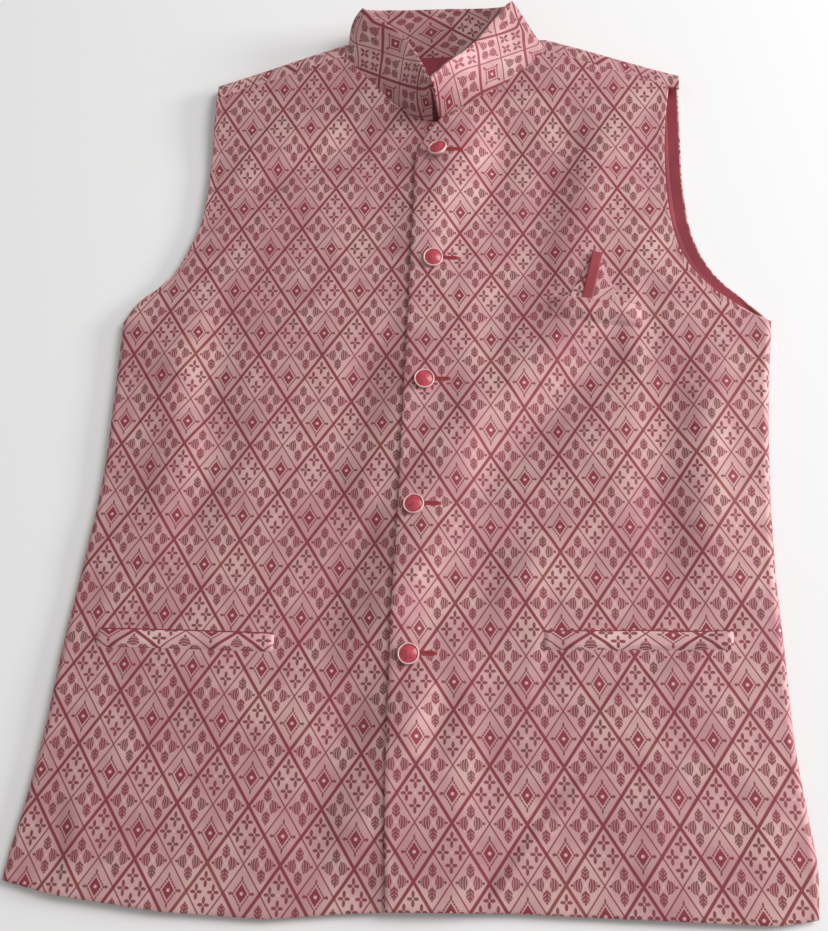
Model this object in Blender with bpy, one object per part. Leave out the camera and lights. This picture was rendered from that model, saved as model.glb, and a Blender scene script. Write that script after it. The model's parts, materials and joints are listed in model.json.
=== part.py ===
"""Sleeveless Nehru jacket of silk brocade, laid flat on its back and buttoned.

X runs toward the wearer's left side, Y from the hem toward the collar and Z up from the
surface that the back lies on. Every cut piece is a closed wall of cloth, worked out as a
grid of points on its outer face and the same points moved in by the cloth's thickness.
"""

import math
from collections import namedtuple

import bpy
import numpy as np
from mathutils import Matrix, Vector
from mathutils.bvhtree import BVHTree

# Cloth, in metres
SHELL = 0.0024           # brocade with its interlining and lining
LINING_PLY = 0.0010      # the plain lining of the upper back
COLLAR_PLY = 0.0014      # each of the stand collar's two plies
WELT_PLY = 0.0013
SQUARE_PLY = 0.0010      # of the pocket square's fold, and of the strip on it
SEAM_GAP = 0.0003        # between pieces that a seam joins
LAID_GAP = 0.0005        # under a piece that lies on a panel

# Body lying flat
SIDE_SEAM_HEIGHT = 0.0041    # of the side seam above the surface
SIDE_GAP = 0.0006            # between the two edges of that seam
SIDE_ROLL = 0.0060           # width of the cloth that rolls round to the side seam
HEM_HEIGHT = 0.0066          # of the fronts' outer face
BODY_HEIGHT = 0.0080
CHEST_HEIGHT = 0.0094
SHOULDER_TIP_HEIGHT = 0.0120
NECK_HEIGHT = 0.0185
BACK_HEM = 0.0030            # how far the back's hem lies behind the fronts'
HEM_RISE = 0.07              # Y over which the hem's height becomes the body's
CHEST_START = 0.30           # Y where the body starts to rise to the chest
CHEST_RISE = 0.20            # and over which it does
ROLL_FADE = 0.04             # distance along an armhole over which the side's roll dies out
FOLD_FADE = 1.0 / 3.0        # the part of a soft fold's length in which it starts or ends

# Shoulders: the back wraps forward over them
NECK_CENTRE = -0.004         # X of the neck's middle
NECK_HALF = 0.091            # half the neck's width at the shoulder seams
SHOULDER_TOP = 0.748         # Y of the shoulder's fold beside the neck
SHOULDER_SLOPE = 0.335
SHOULDER_RUN = 0.115         # from the neck to the shoulder's tip
SHOULDER_BLEND = 0.095       # Y below the seam over which the front rises to it
SEAM_FORWARD = 0.0165        # from the shoulder's fold to its seam
BACK_NECK_RISE = 0.002       # of the back neckline's middle beyond the fold's start
BACK_NECK_SQUARENESS = 8     # power by which the back neckline rises to the shoulder

# Front edges
LAP = 0.0033                 # rise of the upper front where it crosses the lower one
LAP_START = 0.020            # X where that rise starts to die out
LAP_WIDTH = 0.034            # and over which it does
ARMHOLE_SAG = 0.0022         # of the armhole's edge
SAG_WIDTH = 0.035            # over which the sag dies out into the panel
SAG_RISE = 0.08              # Y below the shoulder seam over which it starts

# Stand collar
COLLAR_WIDTH = 0.042
COLLAR_INSET = 0.0010        # of the collar's outer face inside the neck seam
COLLAR_GAP = 0.0005          # between the collar's two plies
COLLAR_END_SHORT = 0.0050    # by which the lower end stops short of the upper one
COLLAR_SMOOTHING = 3         # passes that even out the bend of the top edge
COLLAR_SEAM_STEPS = 400      # to measure the neck seam by

# Buttons
BUTTON_RADIUS = 0.0083
BUTTON_HEIGHT = 0.0030
BUTTON_FLOOR = 0.0012        # thickness of the cup's floor
BUTTON_RIM = 0.0012          # width of the cup's rim
BUTTON_BEVEL = 0.0007        # of the cup's edges
BUTTON_DOME = 0.0016         # rise of the cap's middle over its edge
CAP_SINK = 0.0008            # of the cap's edge below the rim's top
DOME_PARTS = (0.8, 0.45, 0.0)    # of the cap's radius, where its dome has a ring or its middle
BUTTON_SIDES = 20

# Grid of points in each piece
BODY_ROWS = 11
ARMHOLE_ROWS = 6
BACK_ARMHOLE_ROWS = 9
SLANT_ROWS = 3
NECK_ROWS = 7
FRONT_COLUMNS = 17
ROLL_COLUMNS = 4
SHOULDER_COLUMNS = 6
NECK_COLUMNS = 17
SHOULDER_ROWS = 8
COLLAR_COLUMNS = 74
COLLAR_ROWS = 4
WELT_ROWS = 3
WELT_COLUMNS = 20
CHEST_ROWS = 7
CHEST_COLUMNS = 12
SQUARE_ROWS = 9
SQUARE_COLUMNS = 6
STRIP_ROWS = 3

Edge = namedtuple("Edge", "x y")
Fold = namedtuple("Fold", "x0 y0 x1 y1 width rise")
Lean = namedtuple("Lean", "place inward back up bulge")
Button = namedtuple("Button", "x y tilt_x tilt_y")
Finish = namedtuple("Finish", "colour roughness metallic")

# Side seams from hem to underarm, wearer's left and right
SIDE = {
    1: (Edge(0.2765, 0.008), Edge(0.278, 0.040), Edge(0.274, 0.075), Edge(0.268, 0.125),
        Edge(0.265, 0.190), Edge(0.262, 0.255), Edge(0.262, 0.325), Edge(0.265, 0.395),
        Edge(0.271, 0.466)),
    -1: (Edge(-0.305, 0.012), Edge(-0.301, 0.040), Edge(-0.295, 0.075), Edge(-0.289, 0.125),
         Edge(-0.284, 0.190), Edge(-0.277, 0.255), Edge(-0.271, 0.325), Edge(-0.271, 0.395),
         Edge(-0.272, 0.467)),
}
# Armholes from underarm to shoulder seam
FRONT_ARMHOLE = {
    1: (Edge(0.271, 0.466), Edge(0.254, 0.475), Edge(0.237, 0.486), Edge(0.221, 0.500),
        Edge(0.206, 0.520), Edge(0.196, 0.545), Edge(0.191, 0.575), Edge(0.189, 0.612),
        Edge(0.190, 0.655), Edge(0.1945, 0.698)),
    -1: (Edge(-0.272, 0.467), Edge(-0.262, 0.484), Edge(-0.243, 0.500), Edge(-0.229, 0.518),
         Edge(-0.219, 0.542), Edge(-0.212, 0.568), Edge(-0.210, 0.607), Edge(-0.210, 0.650),
         Edge(-0.211, 0.6925)),
}
BACK_ARMHOLE = {
    1: (Edge(0.271, 0.466), Edge(0.252, 0.486), Edge(0.233, 0.504), Edge(0.220, 0.523),
        Edge(0.212, 0.543), Edge(0.207, 0.565), Edge(0.204, 0.603), Edge(0.2035, 0.645),
        Edge(0.2035, 0.700)),
    -1: (Edge(-0.272, 0.467), Edge(-0.254, 0.484), Edge(-0.236, 0.501), Edge(-0.224, 0.520),
         Edge(-0.214, 0.543), Edge(-0.208, 0.568), Edge(-0.206, 0.606), Edge(-0.207, 0.650),
         Edge(-0.2105, 0.700)),
}
# Front edges, from hem to the start of the slant below the collar
PLACKET = {
    1: (Edge(-0.0213, 0.001), Edge(-0.025, 0.077), Edge(-0.027, 0.186), Edge(-0.0262, 0.306),
        Edge(-0.026, 0.409), Edge(-0.0255, 0.531), Edge(-0.026, 0.622)),
    -1: (Edge(0.012, 0.001), Edge(0.012, 0.250), Edge(0.013, 0.450), Edge(0.014, 0.620)),
}
# The slant, then the neckline up to the shoulder seam
SLANT = {
    1: (Edge(-0.026, 0.622), Edge(-0.0235, 0.633), Edge(-0.015, 0.650), Edge(-0.0055, 0.663)),
    -1: (Edge(0.014, 0.620), Edge(0.010, 0.635), Edge(0.001, 0.652), Edge(-0.008, 0.662)),
}
NECKLINE = {
    1: (Edge(-0.0055, 0.663), Edge(0.013, 0.674), Edge(0.032, 0.686), Edge(0.051, 0.700),
        Edge(0.070, 0.7145), Edge(0.087, 0.7315)),
    -1: (Edge(-0.008, 0.662), Edge(-0.026, 0.666), Edge(-0.046, 0.680), Edge(-0.066, 0.700),
         Edge(-0.080, 0.7145), Edge(-0.095, 0.7315)),
}
# The fronts' hem line: Y where it crosses each X
HEM = (Edge(-0.305, 0.012), Edge(-0.263, 0.003), Edge(-0.185, -0.005), Edge(-0.107, -0.007),
       Edge(-0.051, -0.001), Edge(-0.022, 0.001), Edge(0.075, 0.004), Edge(0.211, 0.003),
       Edge(0.249, 0.003), Edge(0.2765, 0.008))
HEM_REACH = 0.12             # how far up the panel the hem's curve is felt

# Largest soft folds of the fronts: ridges rise, troughs sink
FOLDS = (
    Fold(-0.190, 0.520, -0.203, 0.215, 0.026, 0.0026),
    Fold(-0.060, 0.620, -0.040, 0.020, 0.022, -0.0020),
    Fold(-0.205, 0.595, -0.060, 0.676, 0.016, 0.0018),
    Fold(-0.116, 0.240, -0.035, 0.315, 0.020, 0.0018),
    Fold(0.010, 0.330, 0.165, 0.462, 0.020, 0.0026),
    Fold(0.235, 0.240, 0.110, 0.165, 0.014, 0.0024),
    Fold(0.240, 0.212, 0.120, 0.140, 0.014, -0.0018),
    Fold(0.122, 0.115, 0.046, 0.004, 0.013, -0.0024),
    Fold(0.190, 0.365, 0.200, 0.255, 0.030, -0.0018),
    Fold(0.125, 0.530, 0.110, 0.490, 0.025, -0.0012),
)

# The collar's top edge, as its offset from the neck seam, and the collar's bulge outward below
# it, from each front end (place 0) round the shoulder to the middle of the back (place 1)
COLLAR_TOP = {
    1: (Lean(0.00, 0.004, 0.011, 0.0400, 0.0), Lean(0.12, 0.013, 0.018, 0.0355, 0.0),
        Lean(0.25, 0.021, 0.021, 0.0300, 0.0), Lean(0.38, 0.032, 0.023, 0.0235, 0.0),
        Lean(0.48, 0.042, 0.023, 0.0200, 0.0), Lean(0.545, 0.042, 0.030, 0.0175, 0.0),
        Lean(0.58, 0.029, 0.031, 0.0165, 0.0), Lean(0.61, 0.018, 0.030, 0.0160, 0.0),
        Lean(0.65, 0.015, 0.033, 0.0185, 0.0), Lean(0.71, 0.012, 0.036, 0.0205, 0.0),
        Lean(0.78, 0.009, 0.037, 0.0200, 0.0), Lean(0.90, 0.004, 0.038, 0.0185, 0.0),
        Lean(1.00, 0.000, 0.039, 0.0180, 0.0)),
    -1: (Lean(0.00, 0.000, 0.013, 0.0390, 0.0), Lean(0.04, 0.005, 0.014, 0.0385, 0.0),
         Lean(0.08, 0.012, 0.016, 0.0365, 0.0), Lean(0.14, 0.020, 0.0185, 0.0325, 0.0),
         Lean(0.19, 0.025, 0.021, 0.0290, 0.0), Lean(0.25, 0.030, 0.022, 0.0265, 0.0),
         Lean(0.33, 0.035, 0.022, 0.0240, 0.0), Lean(0.41, 0.0385, 0.020, 0.0225, 0.0),
         Lean(0.47, 0.036, 0.021, 0.0220, 0.001), Lean(0.50, 0.033, 0.023, 0.0225, 0.003),
         Lean(0.525, 0.023, 0.022, 0.0245, 0.005), Lean(0.55, 0.013, 0.018, 0.0280, 0.006),
         Lean(0.58, 0.006, 0.0145, 0.0300, 0.006), Lean(0.61, 0.004, 0.018, 0.0300, 0.004),
         Lean(0.66, 0.005, 0.0285, 0.0270, 0.001), Lean(0.71, 0.005, 0.035, 0.0240, 0.0),
         Lean(0.78, 0.0045, 0.037, 0.0205, 0.0), Lean(0.90, 0.002, 0.038, 0.0190, 0.0),
         Lean(1.00, 0.000, 0.039, 0.0180, 0.0)),
}

# Pocket pieces on the fronts: each strip's upper edge
WELT_HEIGHT = 0.013
WELTS = {
    "welt_left": (Edge(0.089, 0.2035), Edge(0.227, 0.2065)),
    "welt_right": (Edge(-0.256, 0.1985), Edge(-0.118, 0.1975)),
}
CHEST_MOUTH = (Edge(0.0900, 0.4855), Edge(0.1665, 0.4780))
CHEST_WELT_HEIGHT = 0.019
# The pocket square's fold, standing out of the chest pocket's mouth
SQUARE_TIP = (Edge(0.1285, 0.5300), Edge(0.1315, 0.5300))
SQUARE_BASE = (Edge(0.1050, 0.4800), Edge(0.1500, 0.4760))
TUCK_CLEAR = 0.0018          # from the square's lower edge to the welt's full rise
SQUARE_TUCK = 0.006          # its length behind the welt
STRIP = (Edge(0.1166, 0.4776), Edge(0.1268, 0.5281))
STRIP_WIDTH = 0.0082

BUTTONS = (
    Button(-0.0130, 0.184, 0.0, 0.0), Button(-0.0140, 0.303, 0.0, 0.0),
    Button(-0.0100, 0.410, 0.0, 0.0), Button(-0.0070, 0.523, 0.0, 0.0),
    Button(-0.0058, 0.629, -12.0, -5.0),
)

BROCADE = Finish((0.46, 0.20, 0.21), 0.42, 0.0)
SATIN = Finish((0.33, 0.055, 0.075), 0.35, 0.0)
RIM = Finish((0.80, 0.52, 0.47), 0.30, 0.4)
CAP = Finish((0.50, 0.06, 0.09), 0.35, 0.0)


def smooth(t):
    """An eased step from 0 to 1."""
    t = np.clip(t, 0.0, 1.0)
    return t * t * (3.0 - 2.0 * t)


CURVE_STEPS = 24             # between two points of a run, to draw its curve by


def curve(points, count):
    """A smooth curve through the points, as count points at even distances along it."""
    points = np.array(points, float)
    before = 2.0 * points[0] - points[1]
    after = 2.0 * points[-1] - points[-2]
    knots = np.vstack([before, points, after])
    t = np.linspace(0.0, 1.0, CURVE_STEPS, endpoint=False)[:, None]
    spans = []
    for a, b, c, d in zip(knots, knots[1:], knots[2:], knots[3:]):
        spans.append(0.5 * (2.0 * b + (c - a) * t + (2.0 * a - 5.0 * b + 4.0 * c - d) * t ** 2
                            + (3.0 * b - a - 3.0 * c + d) * t ** 3))
    line = np.vstack(spans + [points[-1:]])
    steps = np.linalg.norm(np.diff(line, axis=0), axis=1)
    length = np.concatenate([[0.0], np.cumsum(steps)])
    wanted = np.linspace(0.0, length[-1], count)
    return np.column_stack([np.interp(wanted, length, axis) for axis in line.T])


def joined(*runs):
    """Runs of points end to end, each meeting point kept once."""
    return np.vstack([runs[0]] + [run[1:] for run in runs[1:]])


def fold_rise(x, y):
    """Height that the soft folds add to the fronts."""
    rise = np.zeros_like(x)
    for fold in FOLDS:
        run = np.array([fold.x1 - fold.x0, fold.y1 - fold.y0])
        length = np.hypot(*run)
        run /= length
        along = (x - fold.x0) * run[0] + (y - fold.y0) * run[1]
        across = (y - fold.y0) * run[0] - (x - fold.x0) * run[1]
        start = smooth(along / length / FOLD_FADE + 0.5)
        end = smooth((length - along) / length / FOLD_FADE + 0.5)
        rise += fold.rise * start * end * np.exp(-((across / fold.width) ** 2))
    return rise


def shoulder_height(x):
    """Height of the shoulder seam at X, lowest at the shoulder's tip."""
    tip = (abs(x - NECK_CENTRE) - NECK_HALF) / SHOULDER_RUN
    return NECK_HEIGHT + (SHOULDER_TIP_HEIGHT - NECK_HEIGHT) * smooth(tip)


def shoulder_fold(x):
    """Y of the outermost line of the shoulder at X."""
    return SHOULDER_TOP - SHOULDER_SLOPE * np.maximum(abs(x - NECK_CENTRE) - NECK_HALF, 0.0)


def seam_line(x):
    """Y of the shoulder seam at X."""
    return shoulder_fold(x) - SEAM_FORWARD


def to_seam(points):
    """The points with their last one moved along Y onto the shoulder seam."""
    return points[:-1] + (Edge(points[-1].x, seam_line(points[-1].x)),)


def front_height(x, y, side):
    """Height of a front's outer face above the surface."""
    body = HEM_HEIGHT + (BODY_HEIGHT - HEM_HEIGHT) * smooth(y / HEM_RISE)
    body = body + (CHEST_HEIGHT - BODY_HEIGHT) * smooth((y - CHEST_START) / CHEST_RISE)
    near_seam = smooth(1.0 - (seam_line(x) - y) / SHOULDER_BLEND)
    level = body + fold_rise(x, y) * (1.0 - near_seam)
    level = level + (shoulder_height(x) - level) * near_seam
    if side > 0:
        level = level + LAP * (1.0 - smooth((x - LAP_START) / LAP_WIDTH))
    return level


def roll_share(distance):
    """How much of the side's roll is left at a distance along the armhole."""
    return 1.0 - smooth(distance / ROLL_FADE)


def run_length(points):
    """Distance along a run of points, from its first."""
    return np.concatenate([[0.0], np.cumsum(np.linalg.norm(np.diff(points, axis=0), axis=1))])


def front_points(side):
    """Outer face of a front, rows from hem to shoulder, columns from front edge to side."""
    slant_end = BODY_ROWS + ARMHOLE_ROWS
    inner = joined(curve(PLACKET[side], slant_end), curve(SLANT[side], SLANT_ROWS + 1),
                   curve(to_seam(NECKLINE[side]), NECK_ROWS + 1))
    armhole = curve(to_seam(FRONT_ARMHOLE[side]), len(inner) - BODY_ROWS + 1)
    outer = joined(curve(SIDE[side], BODY_ROWS), armhole)
    climb = np.concatenate([np.zeros(BODY_ROWS - 1), run_length(armhole)])
    hem = np.array(HEM)
    rows = []
    for (x0, y0), (x1, y1), distance in zip(inner, outer, climb):
        share = roll_share(distance)
        flat = x1 - side * SIDE_ROLL
        part = np.linspace(0.0, 1.0, FRONT_COLUMNS)
        turn = np.linspace(0.0, math.pi / 2.0, ROLL_COLUMNS + 1)[1:]
        bend = share * np.sin(turn) + (1.0 - share) * turn / (math.pi / 2.0)
        x = np.concatenate([x0 + (flat - x0) * part, flat + side * SIDE_ROLL * bend])
        y = y0 + (y1 - y0) * (x - x0) / (x1 - x0)
        reach = 1.0 - smooth(y / HEM_REACH)
        straight = inner[0][1] + (outer[0][1] - inner[0][1]) * (x - x0) / (x1 - x0)
        y = y + (np.interp(x, hem[:, 0], hem[:, 1]) - straight) * reach
        z = front_height(x, y, side)
        sunk = smooth((seam_line(x) - y) / SAG_RISE)
        edge = smooth(1.0 - abs(x1 - x) / SAG_WIDTH)
        z = z - ARMHOLE_SAG * (1.0 - share) * sunk * edge
        drop = np.concatenate([np.zeros(FRONT_COLUMNS), 1.0 - np.cos(turn)])
        z = z - share * drop * (z - SIDE_SEAM_HEIGHT)
        rows.append(np.column_stack([x, y, z]))
    return np.array(rows)


def shoulder_wrap(x, travel):
    """The back's way over a shoulder: Y past the start of the bend, and height."""
    radius = shoulder_height(x) / 2.0
    turn = np.minimum(travel / radius, math.pi)
    past = np.maximum(travel - math.pi * radius, 0.0)
    return radius * np.sin(turn) - past, radius * (1.0 - np.cos(turn))


def wrap_start(x):
    """Y where the back leaves the surface to go over the shoulder."""
    return shoulder_fold(x) - shoulder_height(x) / 2.0


def wrap_length(x):
    """How far the back travels past the bend's start, at X."""
    seam = math.pi * shoulder_height(x) / 2.0 + wrap_start(x) - shoulder_fold(x) + SEAM_FORWARD
    inside = np.clip(abs(x - NECK_CENTRE) / NECK_HALF, 0.0, 1.0) ** BACK_NECK_SQUARENESS
    return (seam - SEAM_GAP) * inside + BACK_NECK_RISE * (1.0 - inside)


def back_points():
    """Outer face of the back, rows from hem to shoulder and neck, columns right to left."""
    climb_rows = BACK_ARMHOLE_ROWS
    edges = {}
    for side in (-1, 1):
        armhole = curve(BACK_ARMHOLE[side], climb_rows)
        edges[side] = joined(curve(SIDE[side], BODY_ROWS), armhole)
    climb = np.concatenate([np.zeros(BODY_ROWS - 1), run_length(armhole)])
    tip = {side: edges[side][-1][0] for side in edges}
    corner = {side: NECK_CENTRE + side * NECK_HALF for side in edges}
    across = np.sin(np.linspace(-math.pi / 2.0, math.pi / 2.0, NECK_COLUMNS))
    inner = joined(np.linspace(tip[-1] + SIDE_ROLL, corner[-1], SHOULDER_COLUMNS)[:, None],
                   (NECK_CENTRE + NECK_HALF * across)[:, None],
                   np.linspace(corner[1], tip[1] - SIDE_ROLL, SHOULDER_COLUMNS)[:, None])[:, 0]
    part = (inner - inner[0]) / (inner[-1] - inner[0])
    turn = np.linspace(0.0, math.pi / 2.0, ROLL_COLUMNS + 1)[1:]
    rise = np.concatenate([(1.0 - np.cos(turn))[::-1], np.zeros(len(inner)), 1.0 - np.cos(turn)])
    rows = []
    for (x0, y0), (x1, y1), distance in zip(edges[-1], edges[1], climb):
        share = roll_share(distance)
        bend = SIDE_ROLL * (share * np.sin(turn) + (1.0 - share) * turn / (math.pi / 2.0))
        flat = (x0 + SIDE_ROLL) + (x1 - x0 - 2.0 * SIDE_ROLL) * part
        x = np.concatenate([(flat[0] - bend)[::-1], flat, flat[-1] + bend])
        y = y0 + (y1 - y0) * (x - x0) / (x1 - x0)
        z = share * rise * (SIDE_SEAM_HEIGHT - SIDE_GAP)
        rows.append(np.column_stack([x, y, z]))
    rows = np.array(rows)
    rows[:, :, 1] += BACK_HEM * (1.0 - smooth(rows[:, :, 1] / HEM_REACH))
    level = np.linspace(0.0, 1.0, climb_rows)[:, None]
    upper = rows[BODY_ROWS - 1:]
    upper[:, :, 1] += (wrap_start(upper[-1, :, 0]) - upper[-1, :, 1]) * smooth(level)
    x = upper[-1, :, 0]
    wraps = []
    for part in np.linspace(0.0, 1.0, SHOULDER_ROWS + 1)[1:]:
        past, height = shoulder_wrap(x, wrap_length(x) * part)
        wraps.append(np.column_stack([x, wrap_start(x) + past, height]))
    return np.concatenate([rows, np.array(wraps)])


def collar_seam(fronts, back):
    """The neck seam from the upper front's end round the back to the lower front's end."""
    first = SHOULDER_COLUMNS + ROLL_COLUMNS - 1
    behind = back[-1, first:first + NECK_COLUMNS]
    left = fronts[1][-NECK_ROWS - 1:, 0]
    right = fronts[-1][-NECK_ROWS - 1:, 0]
    seam = np.vstack([left[:-1], behind[::-1], right[:-1][::-1]])
    even = curve(seam, COLLAR_SEAM_STEPS)
    length = run_length(even)
    end = length[-1] - COLLAR_END_SHORT
    wanted = np.linspace(0.0, end, COLLAR_COLUMNS)
    return np.column_stack([np.interp(wanted, length, axis) for axis in even.T])


def collar_points(seam):
    """Outer face of the collar, rows from its seam to its top edge."""
    around = np.linspace(-1.0, 1.0, len(seam))
    leans = []
    for position in around:
        side = 1 if position < 0.0 else -1
        table = np.array(COLLAR_TOP[side])
        lean = [np.interp(1.0 - abs(position), table[:, 0], column) for column in table.T[1:]]
        leans.append([-side * lean[0], lean[1], lean[2], side * lean[3]])
    leans = np.array(leans)
    for _ in range(COLLAR_SMOOTHING):
        leans[1:-1] = (leans[:-2] + 2.0 * leans[1:-1] + leans[2:]) / 4.0
    rows = []
    for part in np.linspace(COLLAR_INSET / COLLAR_WIDTH, 1.0, COLLAR_ROWS + 1):
        row = seam + leans[:, :3] * part
        row[:, 0] += leans[:, 3] * math.sin(math.pi * part)
        rows.append(row)
    return np.array(rows)


def normals(points):
    """Unit normals of a grid of points, along rows crossed with up columns."""
    along = np.gradient(points, axis=1, edge_order=2)
    up = np.gradient(points, axis=0, edge_order=2)
    normal = np.cross(along, up)
    return normal / np.linalg.norm(normal, axis=2)[:, :, None]


def wall(name, outer, inner, finish):
    """A closed wall between two grids of points, the outer one first."""
    rows, columns = outer.shape[:2]
    points = np.vstack([outer.reshape(-1, 3), inner.reshape(-1, 3)])
    offset = rows * columns
    faces = []
    for r in range(rows - 1):
        for c in range(columns - 1):
            a = r * columns + c
            faces.append((a, a + 1, a + columns + 1, a + columns))
            faces.append(tuple(offset + i for i in (a, a + columns, a + columns + 1, a + 1)))
    border = [c for c in range(columns)]
    border += [r * columns + columns - 1 for r in range(1, rows)]
    border += [(rows - 1) * columns + c for c in range(columns - 2, -1, -1)]
    border += [r * columns for r in range(rows - 2, 0, -1)]
    for a, b in zip(border, border[1:] + border[:1]):
        faces.append((b, a, offset + a, offset + b))
    return piece(name, points, faces, finish)


def piece(name, points, faces, finish):
    """An object of the given points and faces, shaded smooth, with its own material."""
    mesh = bpy.data.meshes.new(name)
    mesh.from_pydata([tuple(point) for point in points], [], faces)
    mesh.validate()
    mesh.shade_smooth()
    mesh.set_sharp_from_angle(angle=math.radians(40.0))
    material = bpy.data.materials.new(name)
    material.use_nodes = True
    shader = material.node_tree.nodes["Principled BSDF"]
    shader.inputs["Base Color"].default_value = (*finish.colour, 1.0)
    shader.inputs["Roughness"].default_value = finish.roughness
    shader.inputs["Metallic"].default_value = finish.metallic
    mesh.materials.append(material)
    made = bpy.data.objects.new(name, mesh)
    bpy.context.scene.collection.objects.link(made)
    return made


def sheet(name, outer, thickness, finish):
    """A wall whose inner face is the outer one moved in by the cloth's thickness."""
    return wall(name, outer, outer - normals(outer) * thickness, finish)


OVERHEAD = 0.2               # height from which to look down for a panel's face


def surface_of(made):
    """A search tree of a piece's faces."""
    made.data.calc_loop_triangles()
    return BVHTree.FromPolygons([vertex.co for vertex in made.data.vertices],
                                [triangle.vertices for triangle in made.data.loop_triangles])


def under(tree, x, y):
    """The point of a panel's outer face at X and Y, and the face's normal."""
    return tree.ray_cast(Vector((x, y, OVERHEAD)), Vector((0.0, 0.0, -1.0)))[:2]


def laid_piece(name, tree, rows, thickness, finish):
    """A piece lying on a panel, from rows of X, Y and height above the panel."""
    lower = []
    for row in rows:
        spots = [(*under(tree, x, y), above) for x, y, above in row]
        lower.append([spot + normal * above for spot, normal, above in spots])
    lower = np.array(lower)
    return wall(name, lower + normals(lower) * thickness, lower, finish)


def band_rows(start, end, width, rows, columns):
    """X and Y of a band whose upper edge runs from start to end, lower edge first."""
    start = np.array(start)
    end = np.array(end)
    along = (end - start) / np.linalg.norm(end - start)
    down = np.array([along[1], -along[0]])
    drops = np.linspace(width, 0.0, rows)
    return np.array([[start + (end - start) * t + down * drop
                      for t in np.linspace(0.0, 1.0, columns)] for drop in drops])


def with_height(flat, above):
    """Rows of X and Y with a height added to each point."""
    return np.dstack([flat, np.broadcast_to(above, flat.shape[:2])])


def add_pockets(left, right):
    """The welts, and the pocket square's fold with its strip behind the chest welt."""
    for name, ends in WELTS.items():
        rows = band_rows(*ends, WELT_HEIGHT, WELT_ROWS, WELT_COLUMNS)
        panel = left if ends[0].x > 0.0 else right
        laid_piece(name, panel, with_height(rows, LAID_GAP), WELT_PLY, BROCADE)
    up = np.linspace(0.0, 1.0, SQUARE_ROWS)[:, None, None]
    across = np.linspace(0.0, 1.0, SQUARE_COLUMNS)[None, :, None]
    base, tip = np.array(SQUARE_BASE), np.array(SQUARE_TIP)
    fold = (base[0] + (base[1] - base[0]) * across) * (1.0 - up)
    fold = fold + (tip[0] + (tip[1] - tip[0]) * across) * up
    on_panel = SEAM_GAP
    laid_piece("square_fold", left, with_height(fold, on_panel), SQUARE_PLY, BROCADE)
    on_fold = on_panel + SQUARE_PLY + SEAM_GAP
    strip = band_rows(*STRIP, STRIP_WIDTH, STRIP_ROWS, SQUARE_ROWS)
    laid_piece("square_strip", left, with_height(strip, on_fold), SQUARE_PLY, SATIN)
    on_strip = on_fold + SQUARE_PLY + SEAM_GAP
    rows = band_rows(*CHEST_MOUTH, CHEST_WELT_HEIGHT, CHEST_ROWS, CHEST_COLUMNS)
    x = rows[:, :, 0]
    sides = smooth((x - CHEST_MOUTH[0].x) / (base[0][0] - CHEST_MOUTH[0].x))
    sides = sides * smooth((CHEST_MOUTH[1].x - x) / (CHEST_MOUTH[1].x - base[1][0]))
    rise = smooth(np.linspace(0.0, 1.0, CHEST_ROWS) * CHEST_WELT_HEIGHT
                  / (CHEST_WELT_HEIGHT - SQUARE_TUCK - TUCK_CLEAR))[:, None]
    above = LAID_GAP + (on_strip - LAID_GAP) * sides * rise
    laid_piece("chest_welt", left, with_height(rows, above), WELT_PLY, BROCADE)


def lying(spot, normal):
    """A frame on a panel: Z out of the cloth, X level across the jacket."""
    across = (Vector((1.0, 0.0, 0.0)) - normal * normal.x).normalized()
    frame = Matrix((across, normal.cross(across), normal)).transposed().to_4x4()
    frame.translation = spot
    return frame


def turned(name, profile, frame, finish):
    """A shape turned about the Z axis of a frame; the profile starts and ends on the axis."""
    points = [Vector((0.0, 0.0, profile[0][1]))]
    for radius, height in profile[1:-1]:
        for side in range(BUTTON_SIDES):
            angle = 2.0 * math.pi * side / BUTTON_SIDES
            points.append(Vector((radius * math.cos(angle), radius * math.sin(angle), height)))
    points.append(Vector((0.0, 0.0, profile[-1][1])))
    rings = len(profile) - 2
    last = len(points) - 1
    faces = []
    for side in range(BUTTON_SIDES):
        after = (side + 1) % BUTTON_SIDES
        faces.append((0, 1 + after, 1 + side))
        for ring in range(rings - 1):
            low = 1 + ring * BUTTON_SIDES
            high = low + BUTTON_SIDES
            faces.append((low + side, low + after, high + after, high + side))
        top = 1 + (rings - 1) * BUTTON_SIDES
        faces.append((top + side, top + after, last))
    return piece(name, [frame @ point for point in points], faces, finish)


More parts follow.
